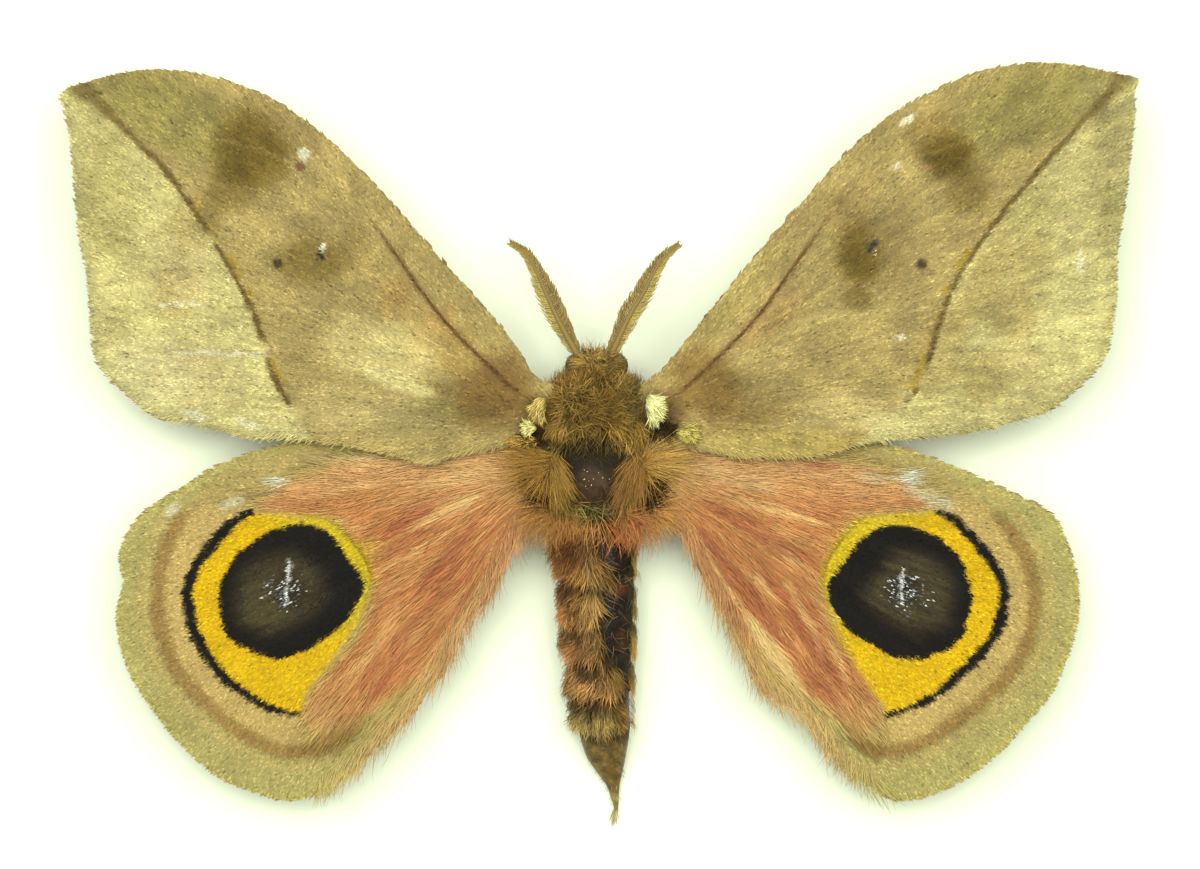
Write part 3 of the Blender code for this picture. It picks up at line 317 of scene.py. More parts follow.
HINDWING_WEAR = {
    -1: [
        ((278, 481), (10, 5), 15, (222, 224, 200), 0.9), ((232, 503), (14, 5), 20, (222, 212, 172), 0.75),
        ((172, 510), (8, 6), 30, (222, 214, 176), 0.8), ((262, 494), (18, 3), 15, (120, 100, 70), 0.45),
        ((468, 500), (10, 7), 30, (236, 200, 130), 0.7), ((350, 459), (36, 3), 3, (222, 196, 142), 0.6),
        ((374, 548), (14, 12), -40, (216, 178, 82), 0.6),
    ],
    1: [
        ((908, 478), (9, 10), 0, (216, 218, 196), 0.9), ((932, 500), (24, 7), -18, (220, 208, 166), 0.75),
        ((820, 466), (16, 4), -8, (186, 100, 78), 0.5), ((872, 478), (12, 6), -20, (224, 202, 160), 0.6),
    ],
}

# Feelers, from the head to the tip, with their branches
FEELER_Z = 5.6
FEELER_RISE = 0.9
FEELER_ROUTES = {
    -1: [(-1.9, 7.8), (-2.8, 9.4), (-3.75, 11.2), (-4.6, 13.1), (-5.5, 15.1), (-6.4, 16.5), (-7.6, 17.3)],
    1: [(1.1, 7.8), (1.9, 9.6), (2.8, 11.4), (3.8, 13.0), (4.6, 14.6), (5.6, 16.1), (6.9, 17.2)],
}
FEELER_SHAFT = 0.29
FEELER_STEP = 0.04
# Branches on the outer and inner side: steps apart, length, radius, colour, bristles, and how far they hang
OUTER_BRANCHES = (5, 0.95, 0.085, (196, 172, 84), 7, (0.0, -0.45))
INNER_BRANCHES = (5, 1.05, 0.09, (164, 136, 62), 6, (0.0, -0.4))

# Legs on the right: path from the hip to the toe, mirrored about the body for the left
LEG_RADII = [0.5, 0.55, 0.5, 0.36, 0.3, 0.22]
LEG_PATHS = {
    "fore": [(1.3, 3.6, 2.3), (1.6, 3.6, 1.4), (3.6, 3.7, 1.3), (4.7, 2.6, 0.75), (5.4, 1.9, 0.36),
             (6.6, 1.2, 0.26)],
    "mid": [(1.4, 0.2, 2.3), (1.8, 0.2, 1.4), (4.2, 0.1, 1.35), (6.2, -0.6, 0.75), (7.4, -1.0, 0.36),
            (9.0, -1.3, 0.26)],
    "hind": [(1.4, -3.4, 2.3), (1.8, -3.4, 1.4), (4.3, -3.0, 1.35), (6.4, -3.7, 0.75), (7.5, -4.3, 0.36),
             (8.9, -5.0, 0.26)],
}
BODY_X = -0.3

# Where the hair is worn off: middle, radii in pixels, turn, share bare, softness
WORN = [
    ((589, 483), (22, 25), 0, 1.0, 0.25), ((597, 455), (40, 12), 0, 0.8, 0.35),
    ((552, 440), (16, 9), -20, 0.9, 0.4), ((643, 438), (9, 10), 0, 0.9, 0.4),
    ((609, 394), (5, 8), 0, 0.9, 0.4), ((593, 428), (5, 8), 0, 0.7, 0.5), ((569, 402), (9, 6), 0, 0.8, 0.5),
    ((617, 562), (15, 22), 0, 1.0, 0.25), ((613, 600), (19, 22), 0, 1.0, 0.25),
    ((615, 640), (15, 20), 0, 0.97, 0.3), ((622, 672), (9, 14), 0, 0.85, 0.4),
    ((625, 712), (9, 22), 0, 0.95, 0.3), ((590, 706), (12, 6), 0, 0.8, 0.5),
    ((560, 613), (8, 5), 0, 0.9, 0.5), ((570, 656), (8, 5), 0, 0.9, 0.5),
]
CONE_START = -25.0
# Hair colours on the body: middle, radii in pixels, turn, colour, strength
BODY_PATCHES = [
    ((598, 358), (30, 14), 0, (142, 118, 60), 0.8), ((596, 382), (46, 13), 0, (160, 132, 66), 0.8),
    ((606, 418), (26, 26), 0, (136, 104, 44), 0.8), ((598, 450), (44, 12), 0, (84, 70, 36), 0.85),
    ((628, 442), (14, 12), 0, (188, 152, 70), 0.85), ((570, 416), (26, 16), 0, (146, 118, 54), 0.7),
    ((560, 486), (11, 36), 8, (172, 138, 66), 0.85), ((632, 486), (11, 36), -8, (176, 136, 66), 0.85),
    ((600, 514), (26, 9), 0, (140, 132, 72), 0.85), ((548, 396), (18, 12), 20, (148, 114, 50), 0.8),
    ((632, 404), (14, 22), 0, (132, 112, 56), 0.7), ((590, 380), (26, 5), 5, (136, 96, 42), 0.55),
    ((540, 408), (10, 12), 0, (184, 156, 74), 0.6), ((562, 548), (26, 24), 0, (198, 122, 66), 0.85),
    ((624, 536), (22, 20), 0, (192, 112, 62), 0.9), ((596, 545), (14, 26), 0, (190, 134, 76), 0.8),
    ((562, 592), (20, 40), 0, (142, 98, 56), 0.85), ((592, 612), (9, 62), 0, (178, 142, 84), 0.7),
    ((576, 652), (18, 34), 0, (158, 112, 68), 0.85), ((590, 690), (24, 30), 0, (158, 118, 70), 0.85),
    ((636, 620), (7, 110), 0, (142, 120, 62), 0.9), ((594, 724), (20, 14), 0, (160, 138, 80), 0.85),
    ((616, 808), (8, 16), 0, (196, 180, 122), 0.8),
]
BASE_HAIR = (128, 100, 46)
UNDER_HAIR = (150, 116, 70)
SHELL_DARK = (28, 19, 12)
SHELL_PATCHES = [
    ((592, 488), (24, 21), 0, (76, 56, 34), 0.95), ((618, 588), (14, 7), -8, (96, 48, 22), 0.8),
    ((622, 640), (8, 12), 0, (84, 50, 26), 0.6), ((626, 718), (8, 18), 0, (118, 72, 34), 0.8),
    ((597, 452), (40, 10), 0, (52, 42, 30), 0.8),
]
CONE_BROWN = (134, 108, 52)
CONE_TIP = (190, 172, 112)

# Body hair: first and last y, first and last degrees round, count, shortest and longest, lift, way along
# the body (1 forwards), splay down the flanks, tangle
BODY_HAIR = {
    "head_hair": [
        (5.3, 7.9, 0, 180, 2100, 0.9, 1.5, 0.4, -0.2, 0.9, 1.2),
        (5.3, 7.4, -10, 60, 900, 1.0, 1.8, 0.55, -0.3, 1.5, 0.7),
        (5.3, 7.6, 110, 190, 1100, 1.2, 2.1, 0.55, -0.1, 1.8, 0.7),
        (5.5, 7.2, 35, 75, 700, 1.1, 1.9, 0.5, -0.35, 2.4, 0.5),
        (5.5, 7.3, 105, 145, 800, 1.1, 2.0, 0.5, -0.3, 2.4, 0.5),
        (5.4, 7.9, 180, 360, 600, 0.7, 1.2, 0.3, 0.5, 0.2, 0.5),
    ],
    "thorax_hair": [
        (4.4, 5.6, 5, 175, 2200, 1.0, 1.8, 0.6, 0.4, 0.4, 1.2),
        (3.2, 5.0, 0, 180, 2900, 1.0, 1.8, 0.5, -0.1, 0.8, 1.5),
        (1.6, 4.0, 5, 175, 2900, 1.4, 2.4, 0.55, -0.7, 0.5, 1.3),
        (0.2, 2.0, 5, 175, 1500, 1.0, 2.0, 0.5, -0.8, 0.5, 1.0),
        (-1.6, 0.6, 5, 50, 420, 1.2, 2.4, 0.5, -0.9, 0.5, 0.9),
        (-1.6, 0.6, 130, 175, 420, 1.2, 2.4, 0.5, -0.9, 0.5, 0.9),
        (-5.0, -1.4, 8, 50, 480, 1.6, 3.0, 0.45, -1.0, 0.2, 0.7),
        (-5.0, -1.4, 130, 172, 480, 1.6, 3.0, 0.45, -1.0, 0.2, 0.7),
        (-5.9, -4.6, 45, 135, 500, 0.8, 1.8, 0.4, -0.6, 0.3, 1.4),
        (-5.6, 5.0, 185, 355, 1400, 1.2, 2.0, 0.35, -1.0, 0.15, 0.3),
    ],
    "abdomen_hair": [
        (-7.6, -5.9, 5, 100, 500, 1.6, 3.0, 0.55, -1.0, 0.5, 0.7),
        (-8.8, -5.7, 95, 188, 1500, 2.0, 3.8, 0.7, -1.0, 1.2, 0.7),
        (-32.0, -25.2, 0, 360, 160, 0.4, 0.8, 0.1, -1.0, 0.05, 0.3),
    ],
}
# Each ring of the abdomen carries hair on this stretch of it, and is bare before that
RING_HAIR = (0.1, 0.9)
# How far round the hair of each ring's left half starts, where the right half of the back is worn
RING_STARTS = (98, 97, 88, 66, 62)
HAIR_WIDTH = (0.04, 0.095)
# Tufts apart from the coat: middle in pixels, z or 0 for the skin of the back, radii of the root patch, way
# they lie in degrees, fan, count, length, width, colour
TUFTS = [
    ((650, 405), 7.6, (5, 11), -50, 0.9, 480, (0.8, 1.5), 0.12, (244, 238, 160)),
    ((532, 428), 7.2, (5, 4), 195, 0.7, 200, (0.5, 0.9), 0.12, (236, 224, 140)),
    ((541, 406), 7.5, (6, 9), 240, 0.6, 260, (0.8, 1.3), 0.1, (210, 184, 102)),
    ((684, 432), 6.9, (9, 8), -20, 0.6, 260, (0.6, 1.1), 0.1, (204, 188, 98)),
    ((527, 441), 6.5, (14, 4), 190, 0.4, 180, (0.5, 0.9), 0.1, (206, 170, 80)),
    ((636, 430), 7.5, (6, 10), -70, 0.8, 160, (0.9, 1.8), 0.07, (158, 124, 54)),
    ((538, 488), 6.3, (9, 13), 215, 2.4, 380, (0.8, 2.0), 0.06, (48, 34, 16)),
    ((652, 488), 6.3, (8, 13), -30, 2.4, 380, (0.8, 2.0), 0.06, (52, 38, 18)),
    ((536, 438), 6.6, (14, 6), 190, 2.4, 200, (0.5, 1.2), 0.06, (60, 42, 20)),
    ((660, 430), 6.6, (12, 8), -10, 2.4, 220, (0.5, 1.2), 0.06, (62, 46, 22)),
    ((552, 460), 6.6, (9, 8), 188, 0.55, 380, (1.6, 5.4), 0.04, (182, 140, 64)),
    ((640, 460), 6.6, (9, 8), -8, 0.55, 380, (1.6, 5.4), 0.04, (216, 174, 92)),
    ((546, 472), 6.9, (7, 12), 205, 1.5, 150, (1.8, 3.8), 0.035, (170, 128, 58)),
    ((642, 472), 6.9, (7, 12), -25, 1.5, 150, (1.8, 3.8), 0.035, (192, 146, 70)),
    ((548, 512), 6.2, (13, 9), 232, 1.5, 320, (1.6, 4.2), 0.04, (190, 138, 72)),
    ((646, 512), 6.2, (13, 9), -52, 1.5, 320, (1.6, 4.2), 0.04, (204, 150, 80)),
    ((556, 466), 7.5, (6, 14), 286, 0.5, 220, (1.8, 3.8), 0.045, (172, 134, 62)),
    ((636, 462), 7.5, (7, 12), 246, 0.55, 200, (1.8, 3.8), 0.045, (168, 124, 62)),
    ((624, 488), 7.3, (5, 18), 258, 0.55, 140, (1.4, 3.0), 0.045, (160, 116, 64)),
    ((566, 518), 7.0, (14, 6), 275, 1.3, 160, (1.2, 2.6), 0.045, (176, 126, 66)),
    ((628, 520), 7.0, (13, 8), -75, 1.9, 160, (1.4, 3.0), 0.045, (186, 122, 72)),
    ((596, 508), 0, (18, 7), 250, 4.0, 160, (0.5, 1.3), 0.045, (96, 92, 50)),
    ((598, 450), 0, (34, 9), 250, 4.0, 260, (0.5, 1.4), 0.05, (70, 58, 32)),
    # Tiny pale specks on the bare dome: painted glints
    ((594, 478), 0, (15, 11), 250, 4.0, 12, (0.09, 0.16), 0.1, (206, 196, 140)),
    ((608, 492), 0, (16, 14), 250, 4.0, 26, (0.8, 1.8), 0.025, (100, 76, 44)),
    ((617, 572), 0, (13, 22), 250, 4.0, 34, (0.8, 2.2), 0.03, (138, 120, 72)),
    ((618, 632), 0, (12, 26), 200, 4.0, 38, (0.8, 2.2), 0.03, (138, 120, 72)),
    ((616, 817), 0.3, (2, 4), 268, 0.35, 60, (0.8, 1.5), 0.05, (184, 172, 120)),
]

# Spacing, length and width of the scales of each wing, of its upper side (1) and its underside (-1)
SCALE_SIZES = {
    ("forewing", 1): (0.153, 0.6, 0.16), ("hindwing", 1): (0.16, 0.6, 0.16),
    ("forewing", -1): (0.36, 1.1, 0.34), ("hindwing", -1): (0.36, 1.1, 0.34),
}
# Hair on the wings: spacing, longest, lift, spread of its direction
WING_HAIR = {"hindwing": (0.208, 4.2, 0.16, 0.06), "forewing": (0.24, 1.5, 0.08, 0.15)}
# A scale: root, left, right and tip, with a ridge from root to tip
SCALE_FACES = np.array([(0, 3, 1), (0, 2, 3), (0, 1, 2), (1, 3, 2)])
# How light a scale's root, two sides and tip are: darker at the root, which is painted shade under the scales
# that overlap it, and lighter at the tip
SCALE_SHADES = np.array([0.9, 0.97, 0.97, 1.05])
# A hair: three rings of three corners and a tip, with their shares of the length, heights, bends and widths
HAIR_RINGS = 3
HAIR_SHARES = (0.0, 0.36, 0.72, 1.0)
HAIR_HEIGHTS = (0.0, 0.8, 1.0, 0.65)
HAIR_TURNS = (0.0, 0.12, 0.5, 1.0)
HAIR_WIDTHS = (0.7, 1.0, 0.65)
# How light the three rings and the tip are in hair of the body, the wings, the tufts and the feelers: darker
# towards the root, which is painted shade under the hair above, and lighter at the tip
BODY_SHADES = (0.45, 0.82, 1.06, 1.25)
WING_SHADES = (0.94, 0.99, 1.02, 1.04)
TUFT_SHADES = (0.85, 0.95, 1.02, 1.08)
FEELER_SHADES = (0.85, 1.0, 1.0, 1.05)
# Half sizes of the patch that a scale and a hair take on the unwrap
SCALE_PATCH = 0.0013
HAIR_PATCH = 0.0009
# Bristles of the feelers and wool of the legs
BRISTLE_WIDTH = 0.045
LEG_TUFTS = 420
LEG_TUFT_WIDTH = 0.09
# Undersides: own colour, colour near the root, where that one fades, colour of the line, its softness, and
# length and seed of the streaks
FOREWING_UNDER = ((176, 148, 106), (186, 150, 96), (10, 26), (110, 84, 52), 0.6, 1.8, 52)
HINDWING_UNDER = ((184, 152, 112), (196, 142, 104), (8, 24), (120, 92, 62), 0.7, 2.5, 53)
# Middle of the dark spot under each forewing
UNDER_MIDDLES = {-1: (320, 252), 1: (870, 250)}
# The body's skin: step along it, and corners round it
SKIN_STEP = 0.2
SKIN_SIDES = 72

# The studio. Lights: place in metres, size, power
LIGHT_TINT = (0.98, 1.0, 0.95)
LIGHTS = {"key": ((-0.15, 0.13, 0.5), 0.3, 1.9), "fill": ((0.17, 0.08, 0.5), 0.3, 1.6)}
WORLD_STRENGTH = 0.74
FLOOR_COLOUR = (0.8, 0.86, 0.66, 1.0)
FLOOR_HALF = 1.5
CAMERA_PLACE = (0.000086, 0.00086, 0.2926)


def from_photo(points):
    """Pixels of the photograph as places in millimetres, seen from above."""
    return [((x - PHOTO_MIDDLE[0]) * MM_PER_PIXEL, (PHOTO_MIDDLE[1] - y) * MM_PER_PIXEL) for x, y in points]


def smooth_path(points, steps, closed=False):
    """A smooth path through the points, as an array, with the given number of steps between neighbours."""
    points = np.array(points, float)
    if closed:
        ends = np.vstack([points[-1:], points, points[:2]])
    else:
        ends = np.vstack([2 * points[:1] - points[1:2], points, 2 * points[-1:] - points[-2:-1]])
    path = []
    for before, start, end, after in zip(ends, ends[1:], ends[2:], ends[3:]):
        for t in np.arange(steps) / steps:
            path.append(0.5 * (
                2 * start + (end - before) * t
                + (2 * before - 5 * start + 4 * end - after) * t ** 2
                + (3 * start - before - 3 * end + after) * t ** 3
            ))
    if not closed:
        path.append(points[-1])
    return np.array(path)


def photo_path(points, closed=False):
    """A smooth path in millimetres through pixels of the photograph."""
    return smooth_path(from_photo(points), 4, closed)


def spaced(path, spacing):
    """Points evenly spaced along a path, with both ends kept."""
    steps = np.linalg.norm(np.diff(path, axis=0), axis=1)
    lengths = np.concatenate([[0.0], np.cumsum(steps)])
    count = max(2, round(lengths[-1] / spacing) + 1)
    wanted = np.linspace(0.0, lengths[-1], count)
    return np.stack([np.interp(wanted, lengths, path[:, axis]) for axis in range(path.shape[1])], axis=1)


def line_gap(x, y, line):
    """Distance to a line, share of the way along it, and side of it: 1 on its left, -1 on its right."""
    line = np.array(line, float)
    total = np.linalg.norm(np.diff(line, axis=0), axis=1).sum()
    gap = np.full(x.shape, 1e9)
    share = np.zeros(x.shape)
    side = np.ones(x.shape)
    done = 0.0
    for start, end in zip(line, line[1:]):
        dx, dy = end - start
        length = math.hypot(dx, dy)
        along = np.clip(((x - start[0]) * dx + (y - start[1]) * dy) / length ** 2, 0.0, 1.0)
        here = np.hypot(x - start[0] - along * dx, y - start[1] - along * dy)
        nearer = here < gap
        gap = np.where(nearer, here, gap)
        share = np.where(nearer, (done + along * length) / total, share)
        side = np.where(nearer, np.where(dx * (y - start[1]) - dy * (x - start[0]) >= 0, 1.0, -1.0), side)
        done += length
    return gap, share, side


def outline_gap(x, y, outline):
    """Distance to a closed outline, below zero inside it."""
    outline = np.array(outline, float)
    closed = np.vstack([outline, outline[:1]])
    hits = np.zeros(x.shape, bool)
    for start, end in zip(closed, closed[1:]):
        if start[1] == end[1]:
            continue
        crossing = start[0] + (y - start[1]) * (end[0] - start[0]) / (end[1] - start[1])
        hits ^= ((start[1] > y) != (end[1] > y)) & (crossing > x)
    return np.where(hits, -1.0, 1.0) * line_gap(x, y, closed)[0]


def soft(low, high, value):
    """0 below low, 1 above high and smooth between."""
    t = np.clip((value - low) / (high - low), 0.0, 1.0)
    return t * t * (3 - 2 * t)


def lattice(column, row, seed):
    """A repeatable random number from 0 to 1 for each whole-number place."""
    mixed = (column * 374761393 + row * 668265263 + seed * 1274126177) & 0xFFFFFFFF
    mixed = ((mixed ^ (mixed >> 13)) * 1103515245) & 0xFFFFFFFF
    return ((mixed ^ (mixed >> 16)) & 0xFFFF) / 65535.0


def noise(x, y, seed):
    """Smooth noise from 0 to 1 with a grain of 1."""
    column = np.floor(x).astype(np.int64)
    row = np.floor(y).astype(np.int64)
    across = soft(0.0, 1.0, x - column)
    up = soft(0.0, 1.0, y - row)
    low = lattice(column, row, seed) * (1 - across) + lattice(column + 1, row, seed) * across
    high = lattice(column, row + 1, seed) * (1 - across) + lattice(column + 1, row + 1, seed) * across
    return low * (1 - up) + high * up


def spot(x, y, middle, radii, turn, fade):
    """1 inside a turned ellipse, 0 outside it, with a soft edge as wide as the fade share of its radii."""
    (cx, cy), = from_photo([middle])
    angle = math.radians(turn)
    along = (x - cx) * math.cos(angle) + (y - cy) * math.sin(angle)
    across = -(x - cx) * math.sin(angle) + (y - cy) * math.cos(angle)
    reach = np.hypot(along / (radii[0] * MM_PER_PIXEL), across / (radii[1] * MM_PER_PIXEL))
    return 1 - soft(1 - fade, 1 + fade, reach)


def paint(colours, colour, mask):
    """Lay a colour over the colours where the mask is near 1."""
    mask = np.clip(mask, 0.0, 1.0)[:, None]
    return colours * (1 - mask) + np.array(colour, float) * mask


def plain(colour, x):
    """One colour at each place."""
    return np.tile(np.array(colour, float), (len(x), 1))


def paint_spots(colours, x, y, spots, fade):
    """Lay patches over the colours, each over the ones before."""
    for middle, radii, turn, colour, strength in spots:
        colours = paint(colours, colour, strength * spot(x, y, middle, radii, turn, fade))
    return colours


def linear(colours):
    """Colours as seen in the light, from 0 to 255, as linear colours of the surface from 0 to 1."""
    share = np.clip(np.asarray(colours, float) / 255.0, 0.0, 1.0)
    return np.where(share <= 0.04045, share / 12.92, ((share + 0.055) / 1.055) ** 2.4) / LIGHT_LEVEL


def polar(x, y, kind, side):
    """Direction and distance from the place that a wing's scales spread from."""
    out, centre_y = LIE_CENTRES[kind]
    dx = x - side * out
    dy = y - centre_y
    return np.arctan2(dy, dx), np.hypot(dx, dy)


def streak_noise(x, y, kind, side, across, along, seed):
    """Noise from -0.5 to 0.5, drawn out along the lie of the scales."""
    angle, reach = polar(x, y, kind, side)
    return noise(angle * reach.mean() / across + 500, reach / along + 500, seed) - 0.5


def paint_dark_line(colours, line_place, side, ragged):
    """The forewing's dark line, and the yellow edge on its inner side."""
    gap, share, hand = line_place
    strength = np.interp(share, [0.0, 0.06, 0.3, 1.0], [0.5, 0.55, 0.8, 0.9])
    for middle, width in LINE_GAPS[side]:
        strength = strength * soft(0.3, 1.2, np.abs(share - middle) / width)
    width = np.interp(share, [0.0, 0.05, 0.15, 0.5, 1.0], [0.85, 0.55, 0.28, 0.22, 0.3])
    width = width * (0.8 + 0.4 * noise(share * 60, share * 0, 31))
    colours = paint(colours, LINE_BROWN, strength * (1 - soft(0.4, 1.5, (gap + 0.2 * ragged) / width)))
    basal = gap * hand * -side
    first, last = YELLOW_SHARES[side]
    edged = soft(first - 0.05, first + 0.05, share) * (1 - soft(last - 0.02, last + 0.02, share))
    band = soft(0.1, 0.3, basal + 0.1 * ragged) * (1 - soft(0.5, 0.85, basal + 0.2 * ragged))
    spotty = soft(0.35, 0.7, noise(share * 30, share * 0, 33))
    return paint(colours, LINE_YELLOW, 0.75 * edged * band * spotty)


def paint_veins(colours, x, y):
    """The forewing's veins: the first dark near the root, two pale, and the others faint."""
    for index, (_, route) in enumerate(FOREWING_VEINS):
        gap, share, _ = line_gap(np.abs(x), y, smooth_path(route, 4))
        crest = np.exp(-(gap / 0.16) ** 2)
        if index == 0:
            dark = crest * soft(0.0, 0.06, share) * (1 - soft(0.34, 0.46, share))
            colours = paint(colours, VEIN_DARK, 0.85 * dark)
            colours = paint(colours, RUSTY, 0.15 * np.exp(-(gap / 0.5) ** 2) * (1 - soft(0.3, 0.45, share)))
        elif index in (5, 7):
            colours = paint(colours, VEIN_PALE, 0.4 * crest * soft(0.1, 0.3, share))
        else:
            colours = paint(colours, VEIN_TAN, 0.35 * crest)
    return colours


def forewing_colours(x, y, side):
    """What the upper side of a forewing looks like at each place."""
    line = photo_path(DARK_LINES[side])
    apex, foot = line[0], line[-1]
    long_line = np.vstack([[apex + (apex - line[3]) * 2], line, [foot + (foot - line[-4]) * 2]])
    beyond, _, long_hand = line_gap(x, y, long_line)
    distal = soft(-0.35, 0.35, beyond * long_hand * side)
    ragged = noise(x / 0.25, y / 0.25, 5) - 0.5
    colours = paint(plain(TAN, x), DISTAL_TAN, distal * 0.9)
    wobble = 0.25 * (noise(x / 1.2, y / 1.2, 11) - 0.5)
    colours = paint_spots(colours, x + wobble, y + wobble, FOREWING_PATCHES[side], 0.45)
    edge = -outline_gap(x, y, wing_outline("forewing", side, 0.0))
    colours = paint(colours, TERMEN_OLIVE, 0.5 * distal * (1 - soft(0.3, 1.4, edge + 0.6 * ragged)))
    mottle = noise(x / 2.6, y / 2.6, 21) + 0.6 * noise(x / 0.9, y / 0.9, 22) - 0.8
    colours *= (1 + 0.15 * mottle)[:, None]
    colours = paint_dark_line(colours, line_gap(x, y, line), side, ragged)
    colours = paint_veins(colours, x, y)
    shift = 0.35 * (noise(x / 0.35, y / 0.35, 41) - 0.5)
    colours = paint_spots(colours, x + shift, y + shift, FOREWING_WEAR[side], 0.2)
    return colours * (1 + 0.2 * streak_noise(x, y, "forewing", side, 0.28, 1.6, 51))[:, None]


def field_colours(x, y, side, streaks, fine):
    """The hindwing's pink field, with its pale and dark streaks."""
    pink = paint(plain(PINK, x), DARK_PINK, 0.6 * soft(0.05, 0.45, streaks + 0.15 * fine))
    pink = paint(pink, CREAM, 0.5 * soft(0.1, 0.45, -streaks + 0.15 * fine))
    for start, end, half_width, colour, strength in FIELD_STREAKS[side]:
        near, where, _ = line_gap(x, y, from_photo([start, end]))
        taper = half_width * MM_PER_PIXEL * (0.35 + 0.65 * np.sin(math.pi * where))
        pink = paint(pink, colour, strength * (1 - soft(0.5, 1.3, near / taper + 0.25 * fine)))
    pink = paint(pink, FIELD_FRONT, 0.65 * soft(-6.0, -2.5, y + 3.0 * streaks))
    pink = paint(pink, FIELD_FOOT, 0.6 * soft(-20.0, -24.0, y + 3.0 * streaks))
    _, reach = polar(x, y, "hindwing", side)
    return paint(pink, GOLD, 0.85 * (1 - soft(3.5, 8.0, reach + 3.0 * streaks)))


def yellow_outline(side):
    return np.vstack([photo_path(RINGS[side]), photo_path(YELLOW_INNER[side])])


def paint_eyespot(colours, x, y, side, ragged, streaks, fine):
    """The eyespot: yellow inside a black ring, and a black disc with an olive glow and a white streak."""
    facing = soft(-1.0, 2.0, (EYE_MIDDLE_OUT - np.abs(x)) * 0.6)
    yellow_gap = outline_gap(x, y, yellow_outline(side))
    (middle_x, middle_y), = from_photo([EYE_MIDDLES[side]])
    lemon = soft(0.0, 5.0, (middle_x - x) * side + 0.6 * (y - middle_y))
    yellows = paint(plain(EYE_YELLOW, x), EYE_LEMON, lemon)
    beyond = soft(-0.3, 0.2 + 0.5 * facing, yellow_gap + 0.4 * ragged + 0.4 * fine)
    colours = paint(colours, yellows, 1 - beyond)
    gap, share, _ = line_gap(x, y, photo_path(RINGS[side]))
    thickness = 0.42 * np.interp(share, [0.0, 0.1, 0.5, 0.85, 1.0], [0.7, 1.0, 1.15, 0.75, 0.3])
    colours = paint(colours, EYE_BLACK, 1 - soft(-0.16, 0.16, gap + 0.45 * ragged - thickness))
    disc = photo_path(DISCS[side], closed=True)
    glow = soft(1.0, 3.4, -outline_gap(x - side * GLOW_SHIFT, y, disc) + 0.9 * streaks)
    glow = glow * (0.55 + 0.45 * soft(0.6, 2.2, np.hypot(x - middle_x, y - middle_y)))
    inside = paint(plain(EYE_BLACK, x), EYE_OLIVE, glow * (0.9 + 0.5 * fine))
    colours = paint(colours, inside, 1 - soft(-0.1, 0.1, outline_gap(x, y, disc) + 0.35 * ragged))
    streak_gap, _, _ = line_gap(x, y, from_photo(STREAKS[side]))
    return paint(colours, STREAK_WHITE, 1 - soft(0.07, 0.17, streak_gap + 0.08 * ragged))


def hindwing_colours(x, y, side):
    """What the upper side of a hindwing looks like at each place."""
    ragged = streak_noise(x, y, "hindwing", side, 0.16, 1.2, 61)
    streaks = streak_noise(x, y, "hindwing", side, 0.5, 5.0, 62)
    fine = streak_noise(x, y, "hindwing", side, 0.2, 2.2, 63)
    out = np.abs(x)
    edge = -outline_gap(x, y, wing_outline("hindwing", side, 0.0))
    gap, share, hand = line_gap(x, y, photo_path(BROWN_BANDS[side]))
    past = gap * hand * side
    field_gap = outline_gap(x, y, photo_path(PINK_FIELDS[side], closed=True))
    colours = paint(plain(PEACH, x), STRIP_TAN, 0.75 * soft(-4.5, -1.0, y + 0.06 * out + 1.2 * streaks))
    colours = paint(colours, OUTER_TAN, 0.95 * soft(-0.2, 0.5, past + 0.3 * ragged) * soft(14.0, 21.0, out))
    colours = paint(colours, PEACH, 0.5 * np.exp(-((past - 1.3) / 0.4) ** 2))
    ends = soft(0.0, 0.07, share) * (1 - soft(0.93, 1.0, share))
    colours = paint(colours, BAND_BROWN, 0.85 * ends * (1 - soft(0.3, 0.95, gap + 0.45 * ragged)))
    rim = (1 - soft(0.2, 0.9, edge + 0.4 * ragged)) * soft(2.0, 5.0, out - 12)
    colours = paint(colours, RIM_GREEN, 0.55 * rim)
    pink = field_colours(x, y, side, streaks, fine)
    colours = paint(colours, pink, 1 - soft(-0.6, 0.9, field_gap + 0.9 * streaks + 0.4 * fine))
    inner_edge = (1 - soft(0.3, 1.6, edge)) * (1 - soft(18.0, 26.0, out)) * soft(-4.0, -7.0, y)
    colours = paint(colours, EDGE_PINK, 0.6 * inner_edge)
    colours = paint_eyespot(colours, x, y, side, ragged, streaks, fine)
    colours = paint_spots(colours, x + 0.5 * ragged, y + 0.5 * ragged, HINDWING_WEAR[side], 0.35)
    mottle = noise(x / 2.2, y / 2.2, 71) - 0.5
    return colours * (1 + 0.08 * mottle + 0.06 * fine)[:, None]


def underside(x, y, kind, side, line, look):
    """A plain underside: its own colour, warmer near the root, with a dark line, and its streaks."""
    own, root, near, line_colour, fade, along, seed = look
    gap, _, _ = line_gap(x, y, photo_path(line))
    _, reach = polar(x, y, kind, side)
    colours = paint(plain(own, x), root, 0.6 * (1 - soft(*near, reach)))
    colours = paint(colours, line_colour, 0.6 * (1 - soft(0.2, fade, gap)))
    return colours, 0.16 * streak_noise(x, y, kind, side, 0.3, along, seed)


def forewing_under_colours(x, y, side):
    """The underside of a forewing has a dark spot with a pale middle."""
    colours, streaks = underside(x, y, "forewing", side, DARK_LINES[side], FOREWING_UNDER)
    middle = UNDER_MIDDLES[side]
    colours = paint_spots(colours, x, y, [(middle, (26, 30), 0, UNDER_SPOT, 0.9)], 0.15)
    colours = paint_spots(colours, x, y, [(middle, (5, 6), 0, BARE_WHITE, 0.9)], 0.3)
    return colours * (1 + streaks + 0.12 * (noise(x / 2.6, y / 2.6, 23) - 0.5))[:, None]


